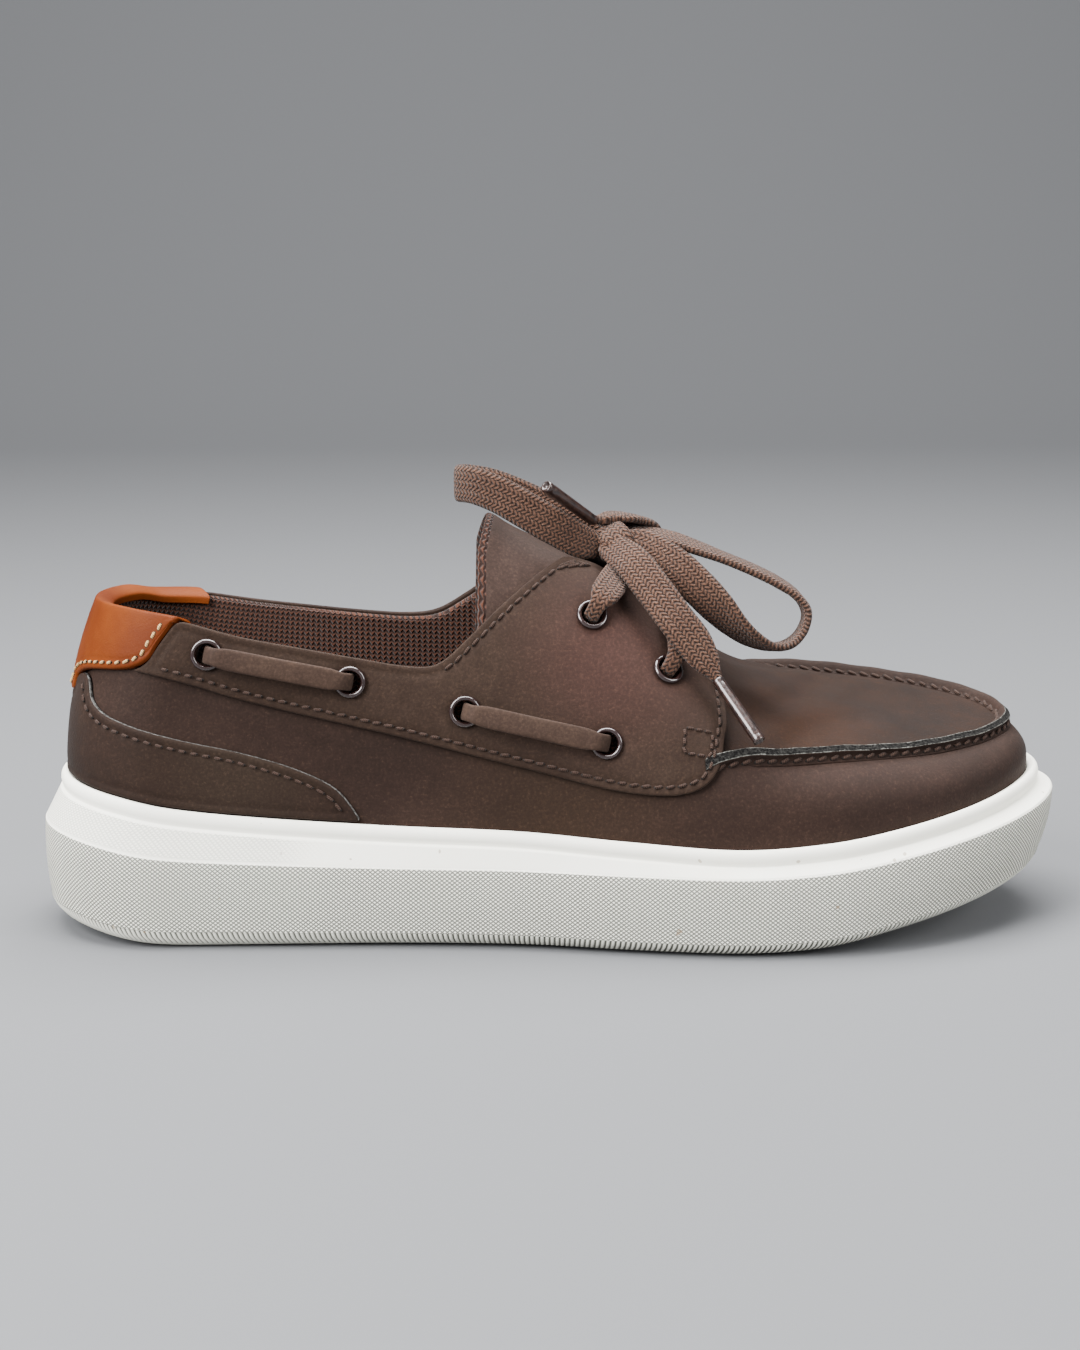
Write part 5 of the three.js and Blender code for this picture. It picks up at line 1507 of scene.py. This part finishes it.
thong_width, thong_gathered, thong_thickness = 6.0, 4.9, 1.8
thong_leather = nubuck("nubuck_thong", "2e211b", "403128", grain=0.7)
for side, side_name in ((outer_side, "outer"), (inner_side, "inner")):
    for part, first, second in (("back", 1, 2), ("front", 3, 4)):
        start, start_normal, _ = seats[f"eyelet_side_{side_name}_{first}"]
        end, end_normal, _ = seats[f"eyelet_side_{side_name}_{second}"]
        ahead = unit(end - start)
        level = eyelet_rise + clearance + thong_thickness / 2 + 0.3
        middle_normal = unit(start_normal + end_normal)
        places = [
            start - start_normal * hole_dip,
            start + ahead * 0.1 + start_normal * 0.4,
            start + ahead * 2 + start_normal * (level - 0.2),
            start + ahead * 6 + start_normal * (level + 0.3),
            (start + end) / 2 + middle_normal * (level + 0.7),
            end - ahead * 6 + end_normal * (level + 0.3),
            end - ahead * 2 + end_normal * (level - 0.2),
            end - ahead * 0.1 + end_normal * 0.4,
            end - end_normal * hole_dip,
        ]
        facing = [
            -ahead, -ahead, start_normal - ahead * 0.6, start_normal, middle_normal, end_normal,
            end_normal + ahead * 0.6, ahead, ahead,
        ]
        widths = [thong_gathered] * 3 + [thong_width] * 3 + [thong_gathered] * 3
        grid, _, pattern = flat_band(places, facing, widths, thong_thickness, 8, corner=0.5, round_points=24)
        add_piece(
            f"thong_{side_name}_{part}_strap", grid, capped(grid), [thong_leather],
            [f"thong_{side_name}_{part}"], pattern,
        )

# Lace: a flat tubular cotton braid, threaded through the throat eyelets. Two bars cross the throat, and the
# rest is tied in a bow of two loops and two ends.
lace_width, lace_thickness, lace_in_eyelet, lace_in_knot, lace_in_aglet = 10.5, 2.0, 4.4, 7.6, 3.2
braid = Finish("lace_braid", 0.95, sheen=0.1, specular=0.12)
braid_wale, braid_course = 1.25, 1.3
wale = braid.across.wave(braid_wale)
lean_left = (braid.across / braid_wale).math("FLOOR").math("PINGPONG", 1.0) * 2.0 - 1.0
plait = (braid.along + braid.across * lean_left * 0.8).wave(braid_course)
fuzz = braid.noise(0.8, 3, 0.65)
strands = (plait * 0.75 + wale * 0.4 + fuzz * 0.9 - 0.5).between(0.05, 0.9)
painted_glints = braid.noise(0.6, 2).between(0.58, 0.72)
braid_tone = braid.noise(7, 3).blend(tint("472f24"), tint("5d4132"))
# Painted shade: the valleys between the braid's strands are coloured near black.
braid_tone = strands.blend(tint("190f0a"), braid_tone)
# Painted highlight: pale glints scattered on the strands' crowns.
braid.colour((painted_glints * strands * 0.4).blend(braid_tone, tint("866b5a")))
braid.relief(strands * 0.8 + fuzz * 0.6, 0.6)


def lace_piece(name, places, facing, widths, replaced, steps=10, thickness=lace_thickness * 1.3):
    """A run of lace along a route, and the line that it follows."""
    grid, line, pattern = flat_band(places, facing, widths, thickness, steps, corner=0.85, round_points=28)
    return add_piece(name, grid, capped(grid), [braid.material], replaced, pattern), line


def over_saddle(x, y, lift):
    """A point over the saddles, measured from their face, with its normal."""

    def height(px, py):
        share = (px - upper_start + panel_face) / (upper_length + 2 * panel_face)
        angle = search(lambda a: on_last(share, a, panel_face)[..., 1] < py, np.zeros(1), np.full(1, math.pi))
        return on_last(np.array([share]), angle, panel_face)[0, 2]

    normal = unit([height(x - 1, y) - height(x + 1, y), height(x, y - 1) - height(x, y + 1), 2.0])
    return np.array([x, y, height(x, y)]) + normal * lift, normal


for label, k, width, over, ahead_by in (("lower", 1, 7.5, 1.6, 0.0), ("upper", 2, 9.2, 1.8, 12.5)):
    level = eyelet_rise + clearance + lace_thickness / 2 + 0.6
    halves = []
    for side_name in ("outer", "inner"):
        point, normal, _ = seats[f"eyelet_throat_{side_name}_{k}"]
        onward = unit(np.array([ahead_by * 0.5, -point[1], 0.0]))
        ahead = unit(onward - normal * np.dot(onward, normal))
        over_place, over_normal = over_saddle(point[0] + ahead_by * 0.7, point[1] * 0.36, (level + over) / 2)
        halves.append([
            (point - normal * hole_dip, -ahead, lace_in_eyelet),
            (point + ahead * 0.1 + normal * 0.6, -ahead, lace_in_eyelet),
            (point + ahead * 2.2 + normal * level, normal - ahead * 0.6, lace_in_eyelet + 0.6),
            (point + ahead * 6 + normal * (level + 0.4), normal, width * 0.9),
            (over_place, over_normal, width),
        ])
    outer_point = seats[f"eyelet_throat_outer_{k}"][0]
    inner_point = seats[f"eyelet_throat_inner_{k}"][0]
    middle, middle_normal = over_saddle((outer_point[0] + inner_point[0]) / 2 + ahead_by, 0.0, over)
    rows = halves[0] + [(middle, middle_normal, width)] + halves[1][::-1]
    lace_piece(f"lace_bar_{label}_braid", *zip(*rows), [f"lace_bar_{label}"])

# The bow: rows of x, y and z of the lace's middle line, and where its flat side faces.
bow_rows = {
    "loop_rear": [
        (161.5, -7.4, 109.4, 0, -1, 0.1), (157, -9.4, 111, 0, -1, 0.1),
        (148.8, -12, 115.8, -0.1, -1, 0.1), (141, -12.5, 120.4, -0.1, -1, 0.05),
        (133.4, -11, 124.6, -0.2, -1, 0), (126.6, -8, 127, -0.5, -0.9, 0),
        (121.8, -2, 127.2, -1, -0.15, 0), (124.4, 4, 126.8, -0.4, 1, 0), (131, 6.5, 125.4, 0, 1, 0),
        (140, 6.5, 122, 0.1, 1, 0), (149, 4.5, 117.6, 0.1, 1, 0), (157.2, 1.5, 113, 0.1, 1, 0),
        (162, -0.6, 110.6, 0.1, 1, 0),
    ],
    "loop_front": [
        (169.8, -1.5, 111.6, 0.2, -0.3, 1), (174.2, -1, 112.2, 0.2, -0.3, 1),
        (182.6, -2.5, 111, 0.25, -0.25, 1), (190, -3.6, 108.6, 0.3, -0.2, 1),
        (198, -4.8, 105.7, 0.4, -0.1, 0.9), (206, -6.2, 102.5, 0.4, -0.1, 0.9),
        (213.4, -7.6, 98.9, 0.5, -0.1, 0.8), (219, -9, 95, 0.85, -0.1, 0.5),
        (221.6, -10.6, 90.4, 1, -0.1, -0.1), (220, -12.4, 85.2, 0.7, -0.15, -0.7),
        (216, -14.2, 81.9, 0.1, -0.2, -1), (210.4, -16.4, 81.5, -0.4, -0.3, -0.9),
        (204.8, -18.2, 84, -0.6, -0.5, -0.6), (199.6, -19.4, 88.2, -0.6, -0.7, -0.4),
        (194.8, -19.6, 93.4, -0.4, -0.9, -0.1), (189.6, -18.4, 98.8, -0.1, -1, 0.1),
        (183.8, -16, 104.2, 0, -1, 0.2), (178, -12.4, 107.8, 0, -1, 0.25), (173.2, -9, 110, 0, -1, 0.3),
        (169.4, -6.6, 110.4, 0, -1, 0.3),
    ],
    "end_outer": [
        (164.4, -9, 110.6, -0.2, -1, 0.6), (167, -12.8, 108.8, -0.2, -1, 0.6),
        (170.8, -18, 106, -0.2, -1, 0.6), (176, -23.8, 99.6, -0.2, -1, 0.5),
        (182, -29.2, 91.6, -0.1, -1, 0.45), (186.6, -31.2, 85.7, 0, -1, 0.4),
        (190.2, -32.6, 80.3, 0.1, -1, 0.35), (193, -33.6, 75.9, 0.2, -1, 0.3),
    ],
    "end_inner": [
        (160.6, 1.5, 111, 0, 1, 0.2), (163.6, 5, 111.4, 0, 1, 0.2), (168.6, 7.8, 111, -0.2, 1, 0),
        (173.6, 9.8, 110.8, -0.1, 1, 0), (177.2, 9.4, 112, 0.7, 0.6, 0.2),
        (176.6, 6.6, 114.4, 0.5, 0.3, 0.8), (171.8, 3, 116.4, 0.1, 0, 1),
        (166.4, -1, 117.2, -0.1, -0.2, 1), (161.4, -5, 116.8, -0.3, -0.3, 1),
    ],
}
aglet_rows = {
    "outer": ((193.2, -33.8, 75.5), (204.1, -47, 59.8)),
    "inner": ((160.5, -5.8, 116.7), (146.2, -18, 127.9)),
}
width_in_sleeve = 2.7
bow_pieces, bow_lines = {}, {}
for name, rows in bow_rows.items():
    last = len(rows) - 1
    end_width = lace_in_aglet if name.startswith("end") else lace_in_knot
    widths = [
        lace_width
        + (lace_in_knot - lace_width) * max(1 - 0.65 * i, 0)
        + (end_width - lace_width) * max(1 - 0.65 * (last - i), 0)
        for i in range(len(rows))
    ]
    if name.startswith("end"):
        start, toward = np.array(aglet_rows[name[4:]], float)
        ahead = unit(toward - start)
        in_sleeve = (5, 10, 15, 20.5)
        rows = rows + [(*(start + ahead * s), *rows[-1][3:]) for s in in_sleeve]
        widths = widths + [width_in_sleeve] * len(in_sleeve)
    table = np.array(rows, float)
    bow_pieces[name], bow_lines[name] = lace_piece(
        f"lace_{name}_braid", table[:, :3], table[:, 3:], widths, [f"lace_{name}"]
    )

# Knot: the same lace, wrapped round the crossing of the loops and drawn tight. A core stands for the strands
# inside it, which don't show.
knot_place = np.array((166.0, -4.0, 110.4))
knot_half = np.array((7.5, 7.0, 4.5))


def knot_wrap(name, tilt, swing, width, swell, shift=(0, 0, 0)):
    """A turn of lace round the knot's middle."""
    turn = np.linspace(0, 2 * math.pi, 22)[:-1]
    ring = np.stack([0 * turn, np.cos(turn) * knot_half[1] * swell, np.sin(turn) * knot_half[2] * swell], -1)
    facing = np.stack([0 * turn, np.cos(turn), np.sin(turn)], -1)
    lean_by = np.array([
        [math.cos(tilt), 0, math.sin(tilt)], [0, 1, 0], [-math.sin(tilt), 0, math.cos(tilt)],
    ])
    swing_by = np.array([
        [math.cos(swing), -math.sin(swing), 0], [math.sin(swing), math.cos(swing), 0], [0, 0, 1],
    ])
    places = ring @ lean_by.T @ swing_by.T + knot_place + np.array(shift)
    facing = facing @ lean_by.T @ swing_by.T
    return lace_piece(name, places, facing, [width] * len(turn), ["lace_knot"], steps=5, thickness=2.2)[0]


knot_turn = knot_wrap("lace_knot_turn", -0.45, 0.3, 9.0, 0.88)
knot_cross = knot_wrap("lace_knot_crossing", 0.75, -0.5, 8.0, 0.72, shift=(-1.5, 0.5, -0.5))
core_turns = np.linspace(0, 2 * math.pi, 40, endpoint=False)
core_rings = []
for q in np.linspace(-1, 1, 25):
    size = math.sqrt(max(1 - q * q, 0.0004))
    pinch = 1 + 0.08 * math.cos(7 * q)
    core_rings.append(np.stack([
        knot_place[0] + knot_half[0] * 0.93 * q + 0 * core_turns,
        knot_place[1] + knot_half[1] * 0.8 * size * pinch * np.cos(core_turns),
        knot_place[2] + knot_half[2] * 0.8 * size * pinch * np.sin(core_turns),
    ], -1))
core_grid = np.array(core_rings).transpose(1, 0, 2)
core_pattern = np.stack([core_grid[..., 0], core_grid[..., 1] * 1.5, 0 * core_grid[..., 0]], -1)
knot_core = add_piece(
    "lace_knot_core", core_grid, capped(core_grid), [braid.material], ["lace_knot"],
    core_pattern,
)

# Aglets: sleeves of brown metal film, rolled round the lace's ends and crimped, with a fold along one side.
# The lace ends inside them.
aglet_radius, aglet_length = 1.9, 22.0
aglet_film = Finish("aglet_film", 0.25, metallic=0.35, coat=0.8)
aglet_cloud = aglet_film.noise(1.6, 4, 0.7)
aglet_film.colour(aglet_cloud.between(0.35, 0.7).blend(tint("180c0a"), tint("3a251e")))
aglet_film.link(0.2 + 0.25 * aglet_cloud, "Roughness")
aglet_film.relief(aglet_cloud, 0.15)
# Place along the sleeve and share of its radius, over the crimps at both ends and in at the tip.
sleeve = [(0.0, 0.72), (0.0, 0.84), (0.25, 0.9), (0.8, 0.9), (1.2, 0.86), (1.7, 0.86), (2.2, 0.9)]
sleeve += [(s, 0.88 + 0.1 * (s / aglet_length)) for s in np.linspace(3, aglet_length - 2.6, 12)]
sleeve += [(aglet_length - 2.2, 0.93), (aglet_length - 1.7, 0.93), (aglet_length - 1.2, 0.98)]
sleeve += [(aglet_length - 0.3, 0.97), (aglet_length, 0.88)]
sleeve += [(aglet_length, 0.6), (aglet_length - 0.8, 0.55)]
for name, (start, toward) in aglet_rows.items():
    ahead = unit(np.subtract(toward, start))
    across, along = turned_to(ahead)
    turn = np.linspace(0, 2 * math.pi, 32, endpoint=False)
    seam_fold = 1 + 0.1 * np.exp(-(((turn - 1.2) / 0.16) ** 2))
    rings = []
    for s, radius in sleeve:
        spokes = np.cos(turn)[:, None] * across + np.sin(turn)[:, None] * along * 0.92
        rings.append(start + ahead * s + aglet_radius * radius * spokes * seam_fold[:, None])
    grid = np.array(rings).transpose(1, 0, 2)
    add_piece(
        f"aglet_{name}_sleeve", grid, capped(grid), [aglet_film.material], [f"aglet_{name}"]
    )


# Camera at the photograph's angle: the shoe's outer side, from a little above and behind the middle.
def place_camera():
    """The lens, in pixels, and the pixel on which the camera's target falls are those of the photograph."""
    photo_width, photo_height, target_x, target_y = 1080, 1350, 556, 745
    lens_pixels, distance, azimuth, elevation = 2099.0, 620.0, math.radians(3), math.radians(13)
    target = Vector((150, 0, 49.5)) - Vector(frame_origin)
    forward = Vector((
        math.sin(azimuth) * math.cos(elevation),
        math.cos(azimuth) * math.cos(elevation),
        -math.sin(elevation),
    ))
    right = forward.cross(Vector((0, 0, 1))).normalized()
    up = right.cross(forward)
    shown_right = (target_x - photo_width / 2) / lens_pixels
    shown_down = (target_y - photo_height / 2) / lens_pixels
    axis = forward - right * shown_right + up * shown_down
    data = bpy.data.cameras.new("camera")
    data.sensor_width = 36
    data.lens = lens_pixels / photo_height * data.sensor_width
    data.clip_start, data.clip_end = 0.01, 50
    camera = bpy.data.objects.new("camera", data)
    camera.location = (target - forward * distance) / 1000
    camera.rotation_mode = "QUATERNION"
    camera.rotation_quaternion = axis.to_track_quat("-Z", "Y")
    bpy.context.scene.collection.objects.link(camera)
    bpy.context.scene.camera = camera


place_camera()


# Lights: soft boxes to the left, to the right and above, and a strip that lights the wall behind.
def add_light(name, place, size, power, aim=(0, 0, 0.05)):
    """A soft light that faces a point, the shoe's unless told otherwise."""
    data = bpy.data.lights.new(name, "AREA")
    data.shape = "RECTANGLE"
    data.size, data.size_y = size
    data.energy = power
    lamp = bpy.data.objects.new(name, data)
    lamp.location = place
    lamp.rotation_mode = "QUATERNION"
    lamp.rotation_quaternion = (Vector(aim) - Vector(place)).to_track_quat("-Z", "Y")
    bpy.context.scene.collection.objects.link(lamp)


add_light("softbox_left", (-0.8, -0.65, 0.7), (0.6, 0.8), 44)
add_light("softbox_right", (0.9, -0.6, 0.6), (0.5, 0.7), 14)
add_light("softbox_top", (-0.05, 0.1, 1.1), (1.2, 0.8), 64)
add_light("backdrop_light", (0.0, 1.5, 2.2), (3.0, 0.4), 60, aim=(0, 3.0, 0.8))
world = bpy.data.worlds.new("studio")
bpy.context.scene.world = world
world.use_nodes = True
background = world.node_tree.nodes["Background"].inputs
background["Color"].default_value = (0.8, 0.81, 0.83, 1)
background["Strength"].default_value = 0.85

# Floor: a pale sheet, in metres here, that curves up into a wall far behind the shoe.
sheet_half, curve_start, curve_radius, wall_top = 30.0, 1.6, 1.2, 4.0
sweep = [(-sheet_half, 0.0), (curve_start, 0.0)]
for turn in np.radians(range(6, 91, 6)):
    sweep.append((curve_start + curve_radius * math.sin(turn), curve_radius * (1 - math.cos(turn))))
sweep.append((curve_start + curve_radius, wall_top))
floor_mesh = bpy.data.meshes.new("floor")
floor_mesh.from_pydata(
    [(x, y, z) for y, z in sweep for x in (-sheet_half, sheet_half)],
    [],
    [(2 * k, 2 * k + 1, 2 * k + 3, 2 * k + 2) for k in range(len(sweep) - 1)],
)
floor_mesh.shade_smooth()
floor = bpy.data.objects.new("floor", floor_mesh)
bpy.context.scene.collection.objects.link(floor)
pale = Finish("floor_pale", 0.8, specular=0.15)
pale.colour(tint("646567"))
floor_mesh.materials.append(pale.material)
